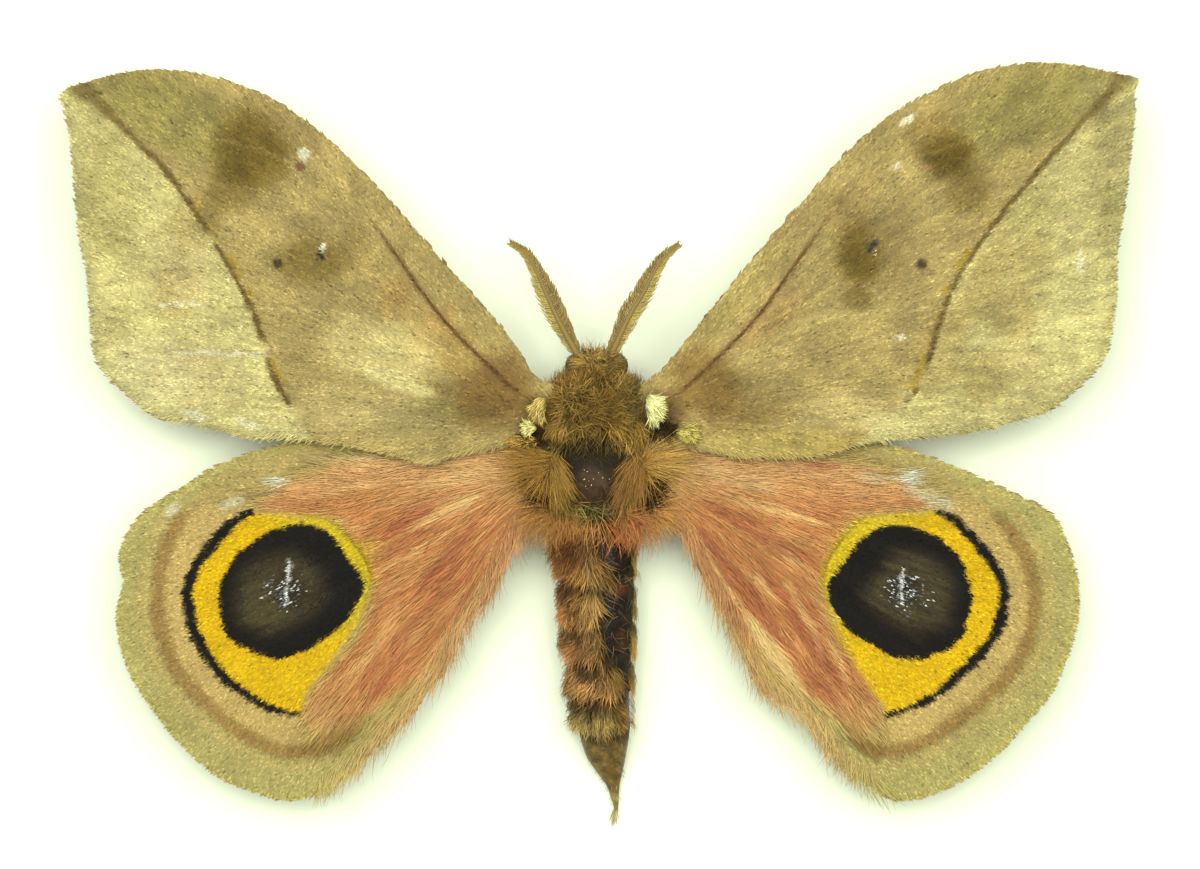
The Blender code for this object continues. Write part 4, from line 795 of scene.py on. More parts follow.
def hindwing_under_colours(x, y, side):
    """The underside of a hindwing has a small white dot."""
    colours, streaks = underside(x, y, "hindwing", side, BROWN_BANDS[side], HINDWING_UNDER)
    colours = paint_spots(colours, x, y, [(EYE_MIDDLES[side], (6, 6), 0, BARE_WHITE, 0.9)], 0.3)
    return colours * (1 + streaks + 0.12 * (noise(x / 2.6, y / 2.6, 24) - 0.5))[:, None]


PAINTERS = {
    ("forewing", 1): forewing_colours, ("hindwing", 1): hindwing_colours,
    ("forewing", -1): forewing_under_colours, ("hindwing", -1): hindwing_under_colours,
}


def mesh_piece(name, part, material, replaced=(), smooth=True):
    """Make a mesh object from points in millimetres, triangles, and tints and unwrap."""
    points, triangles, tints, places = part
    mesh = bpy.data.meshes.new(name)
    mesh.vertices.add(len(points))
    mesh.vertices.foreach_set("co", (np.asarray(points, np.float32) * METRES).ravel())
    corners = np.asarray(triangles, np.int32).ravel()
    mesh.loops.add(len(corners))
    mesh.loops.foreach_set("vertex_index", corners)
    mesh.polygons.add(len(triangles))
    mesh.polygons.foreach_set("loop_start", np.arange(0, len(corners), 3, dtype=np.int32))
    mesh.polygons.foreach_set("use_smooth", np.full(len(triangles), smooth))
    tint = mesh.color_attributes.new("Tint", "FLOAT_COLOR", "POINT")
    tint.data.foreach_set("color", np.hstack([tints, np.ones((len(tints), 1))]).astype(np.float32).ravel())
    layer = mesh.uv_layers.new(name="OFBake")
    layer.data.foreach_set("uv", np.asarray(places, np.float32)[corners].ravel())
    mesh.update(calc_edges=True)
    mesh.validate()
    mesh.materials.append(material)
    item = bpy.data.objects.new(name, mesh)
    bpy.context.scene.collection.objects.link(item)
    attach(item, "root")
    if replaced:
        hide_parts(*replaced)
    return item


def unit(vectors):
    return vectors / np.maximum(np.linalg.norm(vectors, axis=1, keepdims=True), 1e-9)


def laid(lies, ups):
    """Directions turned to lie along a surface with the given ways out."""
    return unit(lies - ups * np.sum(lies * ups, axis=1, keepdims=True))


def repeated(corners, faces, colours, shades, maps, offsets):
    """Points, faces, tints and unwrap of many small meshes of one kind."""
    count, size = corners.shape[:2]
    faces = np.array(faces)[None] + size * np.arange(count)[:, None, None]
    tints = colours[:, None, :] * np.array(shades)[None, :, None]
    spots = maps[:, None, :] + np.array(offsets)[None]
    return corners.reshape(-1, 3), faces.reshape(-1, 3), tints.reshape(-1, 3), spots.reshape(-1, 2)


def scales(roots, lies, ups, lengths, widths, lifts, colours, maps):
    """Flat pointed scales with a low ridge, each a small closed mesh."""
    along = lies * lengths[:, None]
    across = unit(np.cross(lies, ups)) * (widths / 2)[:, None]
    rise = ups * lifts[:, None]
    middle = roots + along * 0.5 + rise * 0.5 - ups * (widths * 0.12)[:, None]
    corners = np.stack([roots - ups * 0.03, middle - across, middle + across, roots + along + rise], axis=1)
    offsets = np.array([(0, -1), (-1, 0), (1, 0), (0, 1)]) * SCALE_PATCH
    return repeated(corners, SCALE_FACES, colours, SCALE_SHADES, maps, offsets)


def hair_faces():
    """Triangles of one hair: its root, the sides between its rings, and its tip."""
    faces = [(0, 1, 2)]
    for start in range(0, 3 * (HAIR_RINGS - 1), 3):
        for corner in range(3):
            after = (corner + 1) % 3
            faces.append((start + corner, start + 3 + corner, start + after))
            faces.append((start + after, start + 3 + corner, start + 3 + after))
    return faces + [(6 + corner, 9, 6 + (corner + 1) % 3) for corner in range(3)]


def hairs(roots, lies, ups, lengths, widths, lifts, bends, colours, maps, shades=BODY_SHADES, ridge=0.3):
    """Tapered hair tufts of three sides that rise, bend and lie down again."""
    sides = unit(np.cross(lies, ups))
    middles = []
    for share, height, turn in zip(HAIR_SHARES, HAIR_HEIGHTS, HAIR_TURNS):
        middle = roots + lies * (lengths * share)[:, None] + ups * (lifts * height)[:, None]
        middles.append(middle + sides * (bends * turn)[:, None])
    middles[0] = middles[0] - ups * 0.12
    rings = []
    for middle, width in zip(middles, HAIR_WIDTHS):
        half = sides * (widths * width / 2)[:, None]
        rings += [middle - half, middle + half, middle + ups * (widths * width * ridge)[:, None]]
    corners = np.stack(rings + [middles[3]], axis=1)
    offsets = np.array([((corner % 3 - 1) * 0.8, corner // 3 - 1.5) for corner in range(10)]) * HAIR_PATCH
    # Each corner takes its ring's tone, so the root carries the painted shade
    corner_shades = [shades[corner // 3] for corner in range(10)]
    return repeated(corners, hair_faces(), colours, corner_shades, maps, offsets)


def clumped(roots, lies, lengths, grain, pull, seed):
    """Lies turned so that the tips of neighbouring tufts draw together, in clumps of the given grain."""
    cells = np.floor(roots[:, :2] / grain).astype(np.int64)
    jitter = np.column_stack([lattice(*cells.T, seed), lattice(*cells.T, seed + 1)])
    offsets = (cells + 0.2 + 0.6 * jitter) * grain - roots[:, :2]
    turned = lies.copy()
    turned[:, :2] += offsets * pull / lengths[:, None]
    return unit(turned)


def joined(parts):
    """Several sets of points, faces, tints and unwrap as one."""
    count = 0
    faces = []
    for points, part_faces, _, _ in parts:
        faces.append(part_faces + count)
        count += len(points)
    points, _, tints, places = zip(*parts)
    return np.vstack(points), np.vstack(faces), np.vstack(tints), np.vstack(places)


@functools.cache
def wing_outline(kind, side, sink):
    """A wing's outline from above: the root line, moved into the body by the sink, and then the free edge."""
    root_ys = FOREWING_ROOT_Y if kind == "forewing" else HINDWING_ROOT_Y
    root_x, out, _ = WING_ROOTS[kind]
    root = [(root_x + side * (out - sink - 0.12 * abs(index - 1)), y) for index, y in enumerate(root_ys)]
    free = spaced(smooth_path([root[0]] + OUTLINES[kind, side] + [root[-1]], 6), 0.45)
    return np.vstack([np.array(root[::-1]), free[1:-1]])


def wing_height(x, y, kind, side):
    """Height of the middle of a membrane, with its faint pleats."""
    level, rise, arch, axis_degrees = SHAPES[kind]
    root_x, out, root_y = WING_ROOTS[kind]
    outward = np.abs(x - (root_x + side * out))
    forward = y - root_y
    axis = math.radians(axis_degrees)
    across = forward * math.cos(axis) - outward * math.sin(axis)
    angle, reach = polar(x, y, kind, side)
    pleat = 0.07 * np.sin(angle * 46) * soft(6.0, 16.0, reach)
    wave = 0.25 * (noise(x / 9.0 + 40, y / 9.0 + 40, 81) - 0.5) * soft(4.0, 12.0, reach)
    return level + rise * outward - arch * across ** 2 + pleat + wave


def vein_lift(x, y, kind):
    """How far the veins raise the upper side."""
    lift = np.zeros(x.shape)
    for height, route in VEINS[kind]:
        gap, share, _ = line_gap(np.abs(x), y, smooth_path(route, 4))
        lift = np.maximum(lift, height * (1 - 0.6 * share) * np.exp(-(gap / 0.34) ** 2))
    return lift


def wing_top(x, y, kind, side):
    return wing_height(x, y, kind, side) + WING_THICKNESS / 2 + vein_lift(x, y, kind)


def wing_bottom(x, y, kind, side):
    return wing_height(x, y, kind, side) - WING_THICKNESS / 2


def wing_map(x, y, kind, side):
    """The unwrap of one face of a wing: its plan, filling the map."""
    outline = wing_outline(kind, side, ROOT_SINK)
    low = outline.min(axis=0)
    size = (outline.max(axis=0) - low).max()
    return np.stack([0.02 + 0.96 * (x - low[0]) / size, 0.02 + 0.96 * (y - low[1]) / size], axis=1)


def membrane_plan(outline, step=0.42):
    """Places and triangles that fill an outline evenly."""
    low, high = outline.min(axis=0), outline.max(axis=0)
    grid = []
    for index, y in enumerate(np.arange(low[1], high[1], step * 0.87)):
        xs = np.arange(low[0] + 0.5 * step * (index % 2), high[0], step)
        grid.append(np.stack([xs, np.full(len(xs), y)], axis=1))
    grid = np.vstack(grid)
    grid = grid[outline_gap(grid[:, 0], grid[:, 1], outline) < -0.25]
    corners = [Vector(point) for point in np.vstack([outline, grid])]
    points, _, triangles, _, _, _ = delaunay_2d_cdt(corners, [], [list(range(len(outline)))], 1, 1e-5)
    return np.array([tuple(point) for point in points]), np.array([tuple(triangle) for triangle in triangles])


def make_membrane(kind, side, material):
    """The membrane: a thin closed sheet whose two faces are split alike, veins raised in the upper one."""
    plan, triangles = membrane_plan(wing_outline(kind, side, ROOT_SINK))
    x, y = plan.T
    count = len(plan)
    heights = [wing_top(x, y, kind, side), wing_bottom(x, y, kind, side)]
    points = np.vstack([np.column_stack([plan, height]) for height in heights])
    edges = np.vstack([triangles[:, [0, 1]], triangles[:, [1, 2]], triangles[:, [2, 0]]])
    keys = np.sort(edges, axis=1) @ np.array([count, 1])
    _, where, times = np.unique(keys, return_index=True, return_counts=True)
    start, end = edges[where[times == 1]].T
    faces = [
        triangles, triangles[:, ::-1] + count,
        np.column_stack([start, end + count, end]), np.column_stack([start, start + count, end + count]),
    ]
    tints = np.vstack([linear(PAINTERS[kind, face](x, y, side) * 0.93) for face in (1, -1)])
    upper_map = wing_map(x, y, kind, side) * 0.5
    part = (points, np.vstack(faces), tints, np.vstack([upper_map, upper_map + 0.5]))
    name = kind + "_membrane_" + SIDE_NAMES[side]
    return mesh_piece(name, part, material, [kind + "_" + SIDE_NAMES[side]])


def scatter(outline, cell, margin, draw):
    """Places spread evenly over an outline, one at random in each small square."""
    low, high = outline.min(axis=0), outline.max(axis=0)
    xs = np.arange(low[0], high[0], cell)
    ys = np.arange(low[1], high[1], cell)
    grid = np.stack(np.meshgrid(xs, ys), axis=-1).reshape(-1, 2)
    places = grid + draw.uniform(0.0, cell, grid.shape)
    return places[outline_gap(places[:, 0], places[:, 1], outline) < -margin]


def surface_normals(x, y, height, face):
    """Ways out of a surface given by its height, up for a face of 1 and down for -1."""
    step = 0.15
    slope_x = (height(x + step, y) - height(x - step, y)) / (2 * step)
    slope_y = (height(x, y + step) - height(x, y - step)) / (2 * step)
    return unit(np.column_stack([-slope_x, -slope_y, np.ones(len(x))])) * face


def make_scale_coat(kind, side, face, material):
    """The overlapping scales of one face of a wing, which lie away from its root."""
    draw = np.random.default_rng(100 + 10 * (kind == "hindwing") + side + 5 * face)
    cell, length, width = SCALE_SIZES[kind, face]
    outline = wing_outline(kind, side, ROOT_SINK)
    places = scatter(outline, cell, 0.02, draw)
    count = len(places)
    angle, _ = polar(*places.T, kind, side)
    angle = angle + draw.normal(0.0, 0.16, count)
    lengths = length * draw.uniform(0.7, 1.3, count)
    widths = width * draw.uniform(0.75, 1.25, count)
    plan_lie = np.column_stack([np.cos(angle), np.sin(angle)])
    at_front = places[:, 1] > COSTA_RISE * np.abs(places[:, 0]) + COSTA_FOOT
    allowed = np.where(at_front, 0.03, draw.uniform(0.05, 0.3, count))
    over = outline_gap(*(places + plan_lie * lengths[:, None]).T, outline) - allowed
    places = places - plan_lie * np.clip(over, 0.0, None)[:, None] * 0.9
    x, y = places.T
    shown_x, shown_y = (places + plan_lie * (SCALE_SHOWN * lengths)[:, None]).T
    height = functools.partial(wing_top if face > 0 else wing_bottom, kind=kind, side=side)
    colours = PAINTERS[kind, face](shown_x, shown_y, side)
    ups = surface_normals(x, y, height, face)
    lies = laid(np.column_stack([plan_lie, np.zeros(count)]), ups)
    roots = np.column_stack([x, y, height(x, y)])
    lifts = draw.uniform(0.01, 0.05, count)
    shade = np.clip(draw.normal(1.0, 0.09, count), 0.7, 1.25)
    shade = np.where(draw.random(count) < 0.06, shade * 0.8, shade)
    colours = colours * shade[:, None]
    if kind == "hindwing" and face > 0:
        colours = add_specks(shown_x, shown_y, side, colours, draw)
    part = scales(roots, lies, ups, lengths, widths, lifts, linear(colours), wing_map(x, y, kind, side))
    name = kind + ("_scales_" if face > 0 else "_under_scales_") + SIDE_NAMES[side]
    return mesh_piece(name, part, material, smooth=False)


def add_specks(x, y, side, colours, draw):
    """White and blue-grey scales strewn round the streak in the eyespot's middle."""
    (middle_x, middle_y), = from_photo([EYE_MIDDLES[side]])
    reach = np.hypot((x - middle_x - side * 0.5) / 1.15, y - middle_y)
    strewn = draw.random(len(x)) < 0.42 * (1 - soft(0.3, 2.3, reach))
    pale = draw.random(len(x)) < 0.4
    tint = np.where(pale[:, None], np.array(SPECK_WHITE, float), np.array(SPECK_BLUE, float))
    return np.where(strewn[:, None], tint, colours)


def hair_places(kind, side, outline, places):
    """The places that carry hair, whether each is in the fringe, and its room as far as the eyespot."""
    x, y = places.T
    edge = -outline_gap(x, y, outline)
    if kind == "forewing":
        kept = (edge < 0.7) & (y < 3.5) & (np.abs(x) > 8)
        return x[kept], y[kept], kept[kept], np.full(kept.sum(), 9.0)
    field = outline_gap(x, y, photo_path(PINK_FIELDS[side], closed=True))
    fringe = (edge < 1.6) & (np.abs(x) < 24) & (y < -3.5)
    room = outline_gap(x, y, yellow_outline(side))
    kept = ((field < 0.6) | fringe) & (room > 0.3)
    return x[kept], y[kept], fringe[kept], room[kept]


def make_wing_hair(kind, side, material):
    """Long hair over the inner part of a hindwing and past its inner edge, or a fringe along a forewing's."""
    draw = np.random.default_rng(300 + side + 10 * (kind == "forewing"))
    cell, longest, lift, spread = WING_HAIR[kind]
    outline = wing_outline(kind, side, ROOT_SINK)
    x, y, fringe, room = hair_places(kind, side, outline, scatter(outline, cell, 0.1, draw))
    count = len(x)
    angle, _ = polar(x, y, kind, side)
    flow = np.where(fringe, 0.9, 0.5) * (noise(x / 2.4 + 70, y / 2.4 + 70, 95) - 0.5)
    outward = np.where(fringe, -side * draw.uniform(0.1, 0.6, count), 0.0)
    angle = angle + outward + flow + draw.normal(0.0, spread, count)
    lengths = np.minimum(longest * draw.uniform(0.45, 1.0, count), room + 0.5)
    over = outline_gap(x + np.cos(angle) * lengths, y + np.sin(angle) * lengths, outline)
    proud = draw.uniform(0.2, 1.0, count) * np.where(draw.random(count) < 0.12, 1.8, 1.0)
    lengths = lengths - np.clip(over - proud * (longest / 4.2 + 0.3), 0.0, lengths * 0.7)
    widths = draw.uniform(0.045, 0.09, count)
    height = functools.partial(wing_top, kind=kind, side=side)
    ups = surface_normals(x, y, height, 1)
    lies = laid(np.column_stack([np.cos(angle), np.sin(angle), np.zeros(count)]), ups)
    shown_x = x + np.cos(angle) * lengths * HAIR_SHOWN
    shown_y = y + np.sin(angle) * lengths * HAIR_SHOWN
    colours = PAINTERS[kind, 1](shown_x, shown_y, side) * draw.normal(1.0, 0.045, count)[:, None]
    roots = np.column_stack([x, y, height(x, y)])
    part = hairs(
        roots, lies, ups, lengths, widths, lift * draw.uniform(0.5, 1.5, count),
        draw.normal(0.0, 1.0, count) * np.where(fringe, 0.14, 0.08) * lengths, linear(colours) / HAIR_SHADE,
        wing_map(x, y, kind, side), WING_SHADES, 0.16,
    )
    return mesh_piece(kind + "_hair_" + SIDE_NAMES[side], part, material)


def segment_share(y):
    """How far along its ring of the abdomen each place is, from 0 to 1, and -1 off the rings."""
    share = np.full(np.shape(y), -1.0)
    for front, back in zip(SEGMENT_EDGES, SEGMENT_EDGES[1:]):
        here = (front - y) / (front - back)
        share = np.where((here >= 0) & (here < 1), here, share)
    return share


def body_section(y):
    """Middle x, half width, lowest z and highest z of the skin at each place along the body."""
    rows = np.array(sorted(BODY_SECTIONS))
    offsets = np.linspace(-0.35, 0.35, 7)
    middle, half_width, low, high = [
        np.mean([np.interp(y + offset, rows[:, 0], rows[:, column]) for offset in offsets], axis=0)
        for column in range(1, 5)
    ]
    half_width = np.minimum(half_width, np.interp(y, rows[:, 0], rows[:, 2]) + 0.4)
    share = segment_share(y)
    flare = np.where(share >= 0, SEGMENT_FLARE * (share ** 2 - 0.35), 0.0)
    return middle, half_width * (1 + flare), low, high + flare * (high - low) * 0.6


def signed_power(value, power):
    return np.sign(value) * np.abs(value) ** power


def dome_reach(x, y):
    """Distance from the bare dome's middle, 1 at its edge."""
    return np.hypot((x - DOME[0]) / DOME_RADII[0], (y - DOME[1]) / DOME_RADII[1])


def skin_place(y, degrees):
    """Places on the body's skin, with the way out of it. Degrees run round from the right over the back."""
    middle, half_width, low, high = body_section(y)
    turn = np.radians(degrees)
    half_height = (high - low) / 2
    x = middle + half_width * signed_power(np.cos(turn), 2 / ROUNDNESS)
    z = low + half_height + half_height * signed_power(np.sin(turn), 2 / ROUNDNESS)
    reach = dome_reach(x, y)
    dent = 0.12 * (noise(x / 0.7 + 30, y / 0.7 + 30, 97) - 0.5) * (1 - soft(0.6, 1.2, reach))
    z = np.where(np.sin(turn) > 0, z + DOME_HEIGHT * (1 - soft(0.35, 1.1, reach)) + dent, z)
    ups = unit(np.column_stack([np.cos(turn) / half_width, np.zeros(len(turn)), np.sin(turn) / half_height]))
    return np.column_stack([x, y, z]), ups


def back_height(x, y):
    """Height of the skin of the back."""
    middle, half_width, low, high = body_section(y)
    inside = np.clip(1 - np.abs((x - middle) / half_width) ** ROUNDNESS, 0.0, 1.0) ** (1 / ROUNDNESS)
    bump = DOME_HEIGHT * (1 - soft(0.35, 1.1, dome_reach(x, y)))
    return (low + high) / 2 + (high - low) / 2 * inside + bump


def body_map(degrees, y):
    """The unwrap of the body's skin: the turn round it, and the place along it."""
    return np.column_stack([0.02 + 0.96 * degrees / 360.0, 0.02 + 0.96 * (y + 32.6) / 41.0])


def bald(x, y):
    """How bare the back is, from 0 to 1."""
    shift = 0.5 * (noise(x / 0.6 + 20, y / 0.6 + 20, 98) - 0.5)
    worn = soft(CONE_START + 0.2, CONE_START - 1.0, y + 2 * shift) * 0.93
    for middle, radii, turn, share, softness in WORN:
        worn = np.maximum(worn, share * spot(x + shift, y + shift, middle, radii, turn, softness))
    return worn


def hair_colours(x, y, z):
    """Colour of the body's hair, by its place seen from above, and plainer below."""
    colours = paint_spots(plain(BASE_HAIR, x), x, y, BODY_PATCHES, 0.5)
    _, _, low, high = body_section(y)
    return paint(colours, UNDER_HAIR, 0.7 * (1 - soft(0.3, 0.5, (z - low) / (high - low))))


def shell_colours(x, y):
    """The bare skin: nearly black, with red-brown places, a brown cone at the end, and pale specks that are
    painted glints.
    """
    shell = paint_spots(plain(SHELL_DARK, x), x, y, SHELL_PATCHES, 0.5)
    shell = paint(shell, CONE_BROWN, soft(CONE_START, CONE_START - 1.2, y) * 0.9)
    shell = paint(shell, CONE_TIP, soft(-30.0, -31.5, y) * 0.8)
    shell = shell * (0.75 + 0.5 * noise(x / 0.5 + 60, y / 0.5 + 60, 99))[:, None]
    # Pale specks, strongest on the cone: painted glints
    specks = soft(0.86, 0.94, noise(x / 0.22 + 60, y / 0.22 + 60, 100))
    return paint(shell, SHELL_GLINT, specks * np.where(y < CONE_START, 0.6, 0.25))


def ring_faces(rows, sides):
    """Triangles between rings of points, then over the first and last ring to the two points after them."""
    ring = np.arange(sides)
    after = (ring + 1) % sides
    faces = []
    for start in sides * np.arange(rows - 1):
        faces.append(np.column_stack([start + ring, start + sides + ring, start + after]))
        faces.append(np.column_stack([start + after, start + sides + ring, start + sides + after]))
    last = (rows - 1) * sides
    faces.append(np.column_stack([ring, after, np.full(sides, rows * sides)]))
    faces.append(np.column_stack([last + after, last + ring, np.full(sides, rows * sides + 1)]))
    return np.vstack(faces)


def make_body_skin(material):
    """One skin for head, thorax and abdomen, bare and glossy where the hair is worn off."""
    rows = np.arange(8.05, -32.4, -SKIN_STEP)
    degrees = np.tile(np.arange(SKIN_SIDES) * 360.0 / SKIN_SIDES, len(rows))
    points, _ = skin_place(np.repeat(rows, SKIN_SIDES), degrees)
    points[:, 2] = np.maximum(points[:, 2], 0.02)
    points = np.vstack([points, points[:SKIN_SIDES].mean(axis=0), points[-SKIN_SIDES:].mean(axis=0)])
    x, y, z = points.T
    mask = bald(x, y)
    # Under the hair the skin takes half the hair's colour, painted shade for the depth of the coat; bare
    # places take the shell's colours
    colours = hair_colours(x, y, z) * 0.5 * (1 - mask[:, None]) + shell_colours(x, y) * mask[:, None]
    places = body_map(np.concatenate([degrees, [180.0, 180.0]]), y)
    part = (points, ring_faces(len(rows), SKIN_SIDES), linear(colours), places)
    item = mesh_piece("body_skin", part, material, ["head", "thorax", "abdomen"])
    gloss = item.data.attributes.new("Gloss", "FLOAT", "POINT")
    gloss.data.foreach_set("value", (mask * np.where(y > SEGMENT_EDGES[0], 0.45, 1.0)).astype(np.float32))
    return item


def ring_rows():
    """The rows of hair of the abdomen's rings, as in BODY_HAIR."""
    rows = []
    for front, back, start in zip(SEGMENT_EDGES, SEGMENT_EDGES[1:], RING_STARTS):
        first = front - RING_HAIR[0] * (front - back)
        last = front - RING_HAIR[1] * (front - back)
        rows += [
            (last, first, start, 205, 1350, 1.4, 2.7, 0.6, -1.0, 1.0, 0.7),
            (last, first, 86, 106, 170, 1.8, 3.2, 0.5, -1.0, 0.1, 0.9),
            (last, first, -12, 30, 300, 1.1, 2.0, 0.3, -1.0, 0.15, 0.4),
            (last, first, 205, 348, 330, 1.0, 1.6, 0.25, -1.0, 0.1, 0.2),
        ]
    return rows


def ring_shade(y):
    """How light the hair is along each ring of the abdomen: dark in front and pale at its back edge."""
    share = segment_share(y)
    return np.where(share >= 0, np.interp(share, [0.1, 0.35, 0.7], [0.7, 0.98, 1.2]), 1.0)


def body_tufts(row, draw):
    """The tufts of one row of BODY_HAIR, thinned out on the worn places."""
    first, last, start, end, count, shortest, longest, lift, way, splay, tangle = row
    y = draw.uniform(first, last, count)
    degrees = draw.uniform(start, end, count)
    roots, ups = skin_place(y, degrees)
    x, y = roots[:, 0], roots[:, 1]
    above = np.sin(np.radians(degrees)) > -0.2
    worn = np.maximum(bald(x, y), 0.9 * bald(x, y + way * shortest * 0.6))
    gaps = 0.75 * (1 - soft(0.25, 0.5, noise(x / 0.55 + 80, y / 0.55 + 80, 94)))
    kept = draw.random(count) > np.maximum(worn, gaps) * above
    roots, ups, degrees = roots[kept], ups[kept], degrees[kept]
    x, y = roots[:, 0], roots[:, 1]
    count = len(roots)
    around = np.column_stack([ups[:, 2], np.zeros(count), -ups[:, 0]])
    swirl = noise(x / 1.3 + 50, y / 1.3 + 50, 91) - 0.5
    turning = noise(x / 1.7 + 50, y / 1.7 + 50, 93) - 0.5
    aside = splay * np.cos(np.radians(degrees)) + tangle * (1.6 * swirl + draw.normal(0.0, 0.35, count))
    ways = way + tangle * (1.2 * turning + draw.normal(0.0, 0.3, count))
    lies = laid(np.array([[0.0, 1.0, 0.0]]) * ways[:, None] + around * aside[:, None], ups)
    lengths = draw.uniform(shortest, longest, count) * np.interp(y, [-25.0, -16.0], [0.75, 1.0])
    lies = clumped(roots, lies, lengths, 0.62, 0.95, 110)
    lifts = lift * draw.uniform(0.4, 1.6, count)
    widths = draw.uniform(*HAIR_WIDTH, count)
    shown = roots + lies * (lengths * HAIR_SHOWN)[:, None]
    colours = hair_colours(shown[:, 0], shown[:, 1], roots[:, 2]) * ring_shade(y)[:, None]
    lock_shade = noise(x / 0.45 + 90, y / 0.8 + 90, 92)
    colours = colours * (0.62 + 0.76 * lock_shade + draw.normal(0.0, 0.12, count))[:, None]
    bends = draw.normal(0.0, 0.4, count) * (0.3 + tangle)
    tints = linear(colours) / HAIR_SHADE
    return hairs(roots, lies, ups, lengths, widths, lifts, bends, tints, body_map(degrees, y))


def make_body_hair(name, rows, material):
    """Tufts over part of the body, drawn together in clumps."""
    draw = np.random.default_rng(len(name) * 7)
    part = joined([body_tufts(row, draw) for row in rows])
    part[0][:, 2] = np.maximum(part[0][:, 2], 0.02)
    return mesh_piece(name, part, material)


def make_tufts(material):
    """The cream and yellow tufts by the forewings, the dark tangles and the long hair over the wing roots."""
    draw = np.random.default_rng(17)
    parts = []
    for middle, level, radii, way, fan, count, lengths, width, colour in TUFTS:
        (cx, cy), = from_photo([middle])
        reach = np.sqrt(draw.random(count))
        turn = draw.uniform(0.0, 2 * math.pi, count)
        x = cx + reach * np.cos(turn) * radii[0] * MM_PER_PIXEL
        y = cy + reach * np.sin(turn) * radii[1] * MM_PER_PIXEL
        depth = draw.uniform(-0.3, 0.15, count)
        roots = np.column_stack([x, y, level + depth if level else back_height(x, y)])
        swirl = noise(x / 0.8 + 50, y / 0.8 + 50, 96) - 0.5
        outward = np.cos(math.radians(way)) * reach * np.sin(turn)
        angles = math.radians(way) + fan * (outward + 1.2 * swirl + draw.normal(0.0, 0.25, count))
        lies = unit(np.column_stack([np.cos(angles), np.sin(angles), draw.uniform(-0.12, 0.12, count)]))
        own = draw.uniform(*lengths, count)
        tints = linear(np.array(colour, float) * draw.normal(1.0, 0.13, count)[:, None]) / HAIR_SHADE
        parts.append(hairs(
            roots, lies, plain((0.0, 0.0, 1.0), x), own, width * draw.uniform(0.7, 1.2, count),
            draw.uniform(0.05, 0.35, count), draw.normal(0.0, 0.4, count) * np.minimum(fan, 0.8 * own), tints,
            np.column_stack([0.5 + x / 100, 0.5 + y / 100]), TUFT_SHADES,
        ))
    return mesh_piece("wing_root_hair", joined(parts), material)


def tube(path, radii, sides):
    """Points and triangles of a closed tapered tube along a path."""
    points = []
    for index, point in enumerate(path):
        ahead = path[min(index + 1, len(path) - 1)] - path[max(index - 1, 0)]
        ahead = ahead / np.linalg.norm(ahead)
        across = np.cross(ahead, (0.0, 0.0, 1.0))
        if np.linalg.norm(across) < 0.2:
            across = np.array([0.0, 1.0, 0.0])
        across = across / np.linalg.norm(across)
        upward = np.cross(across, ahead)
        for turn in 2 * np.pi * np.arange(sides) / sides:
            points.append(point + radii[index] * (across * math.cos(turn) + upward * math.sin(turn)))
    return np.array(points + [path[0], path[-1]]), ring_faces(len(path), sides)


def tube_part(path, radii, sides, colour, place):
    """A tube as a part of a feeler, with one colour, unwrapped round one place."""
    points, faces = tube(path, radii, sides)
    places = np.array([place]) + 0.001 * (points[:, :2] - points[:, :2].mean(axis=0))
    return points, faces, plain(linear(colour), points), places


def feeler_branch(root, ahead, across, reach, hang, look, place, draw):
    """One curved branch of a feeler, with its bristles."""
    _, _, radius, base_colour, bristles, _ = look
    droop = np.array([0.0, 0.0, hang])
    own = reach * (1 + 0.5 * hang) * draw.uniform(0.82, 1.1)
    bow = 0.5 + 0.12 * draw.random()
    course = ((0, 0, 0), (0.32, 0.04, 0.25), (0.6, 0.18, 0.5), (0.8, bow, 0.8), (0.88, bow + 0.3, 1))
    route = np.array([root + own * (out * across + on * ahead + down * droop) for out, on, down in course])
    colour = np.array(base_colour) * draw.uniform(0.85, 1.1)
    branch = tube_part(route, radius * np.array([1.2, 1.0, 0.9, 0.75, 0.35]), 5, colour, place)
    where = np.linspace(0.3, 3.9, bristles)
    roots = np.column_stack([np.interp(where, range(5), route[:, axis]) for axis in range(3)])
    lies = unit(np.tile(ahead + across * 0.35, (bristles, 1)) + draw.normal(0, 0.3, (bristles, 3)))
    lengths = draw.uniform(0.2, 0.42, bristles)
    return [branch, hairs(
        roots, lies, plain((0.0, 0.0, 1.0), roots), lengths, np.full(bristles, BRISTLE_WIDTH),
        np.full(bristles, 0.02), np.zeros(bristles), plain(linear(np.array(base_colour) * 1.1), roots),
        plain(place, roots), FEELER_SHADES,
    )]


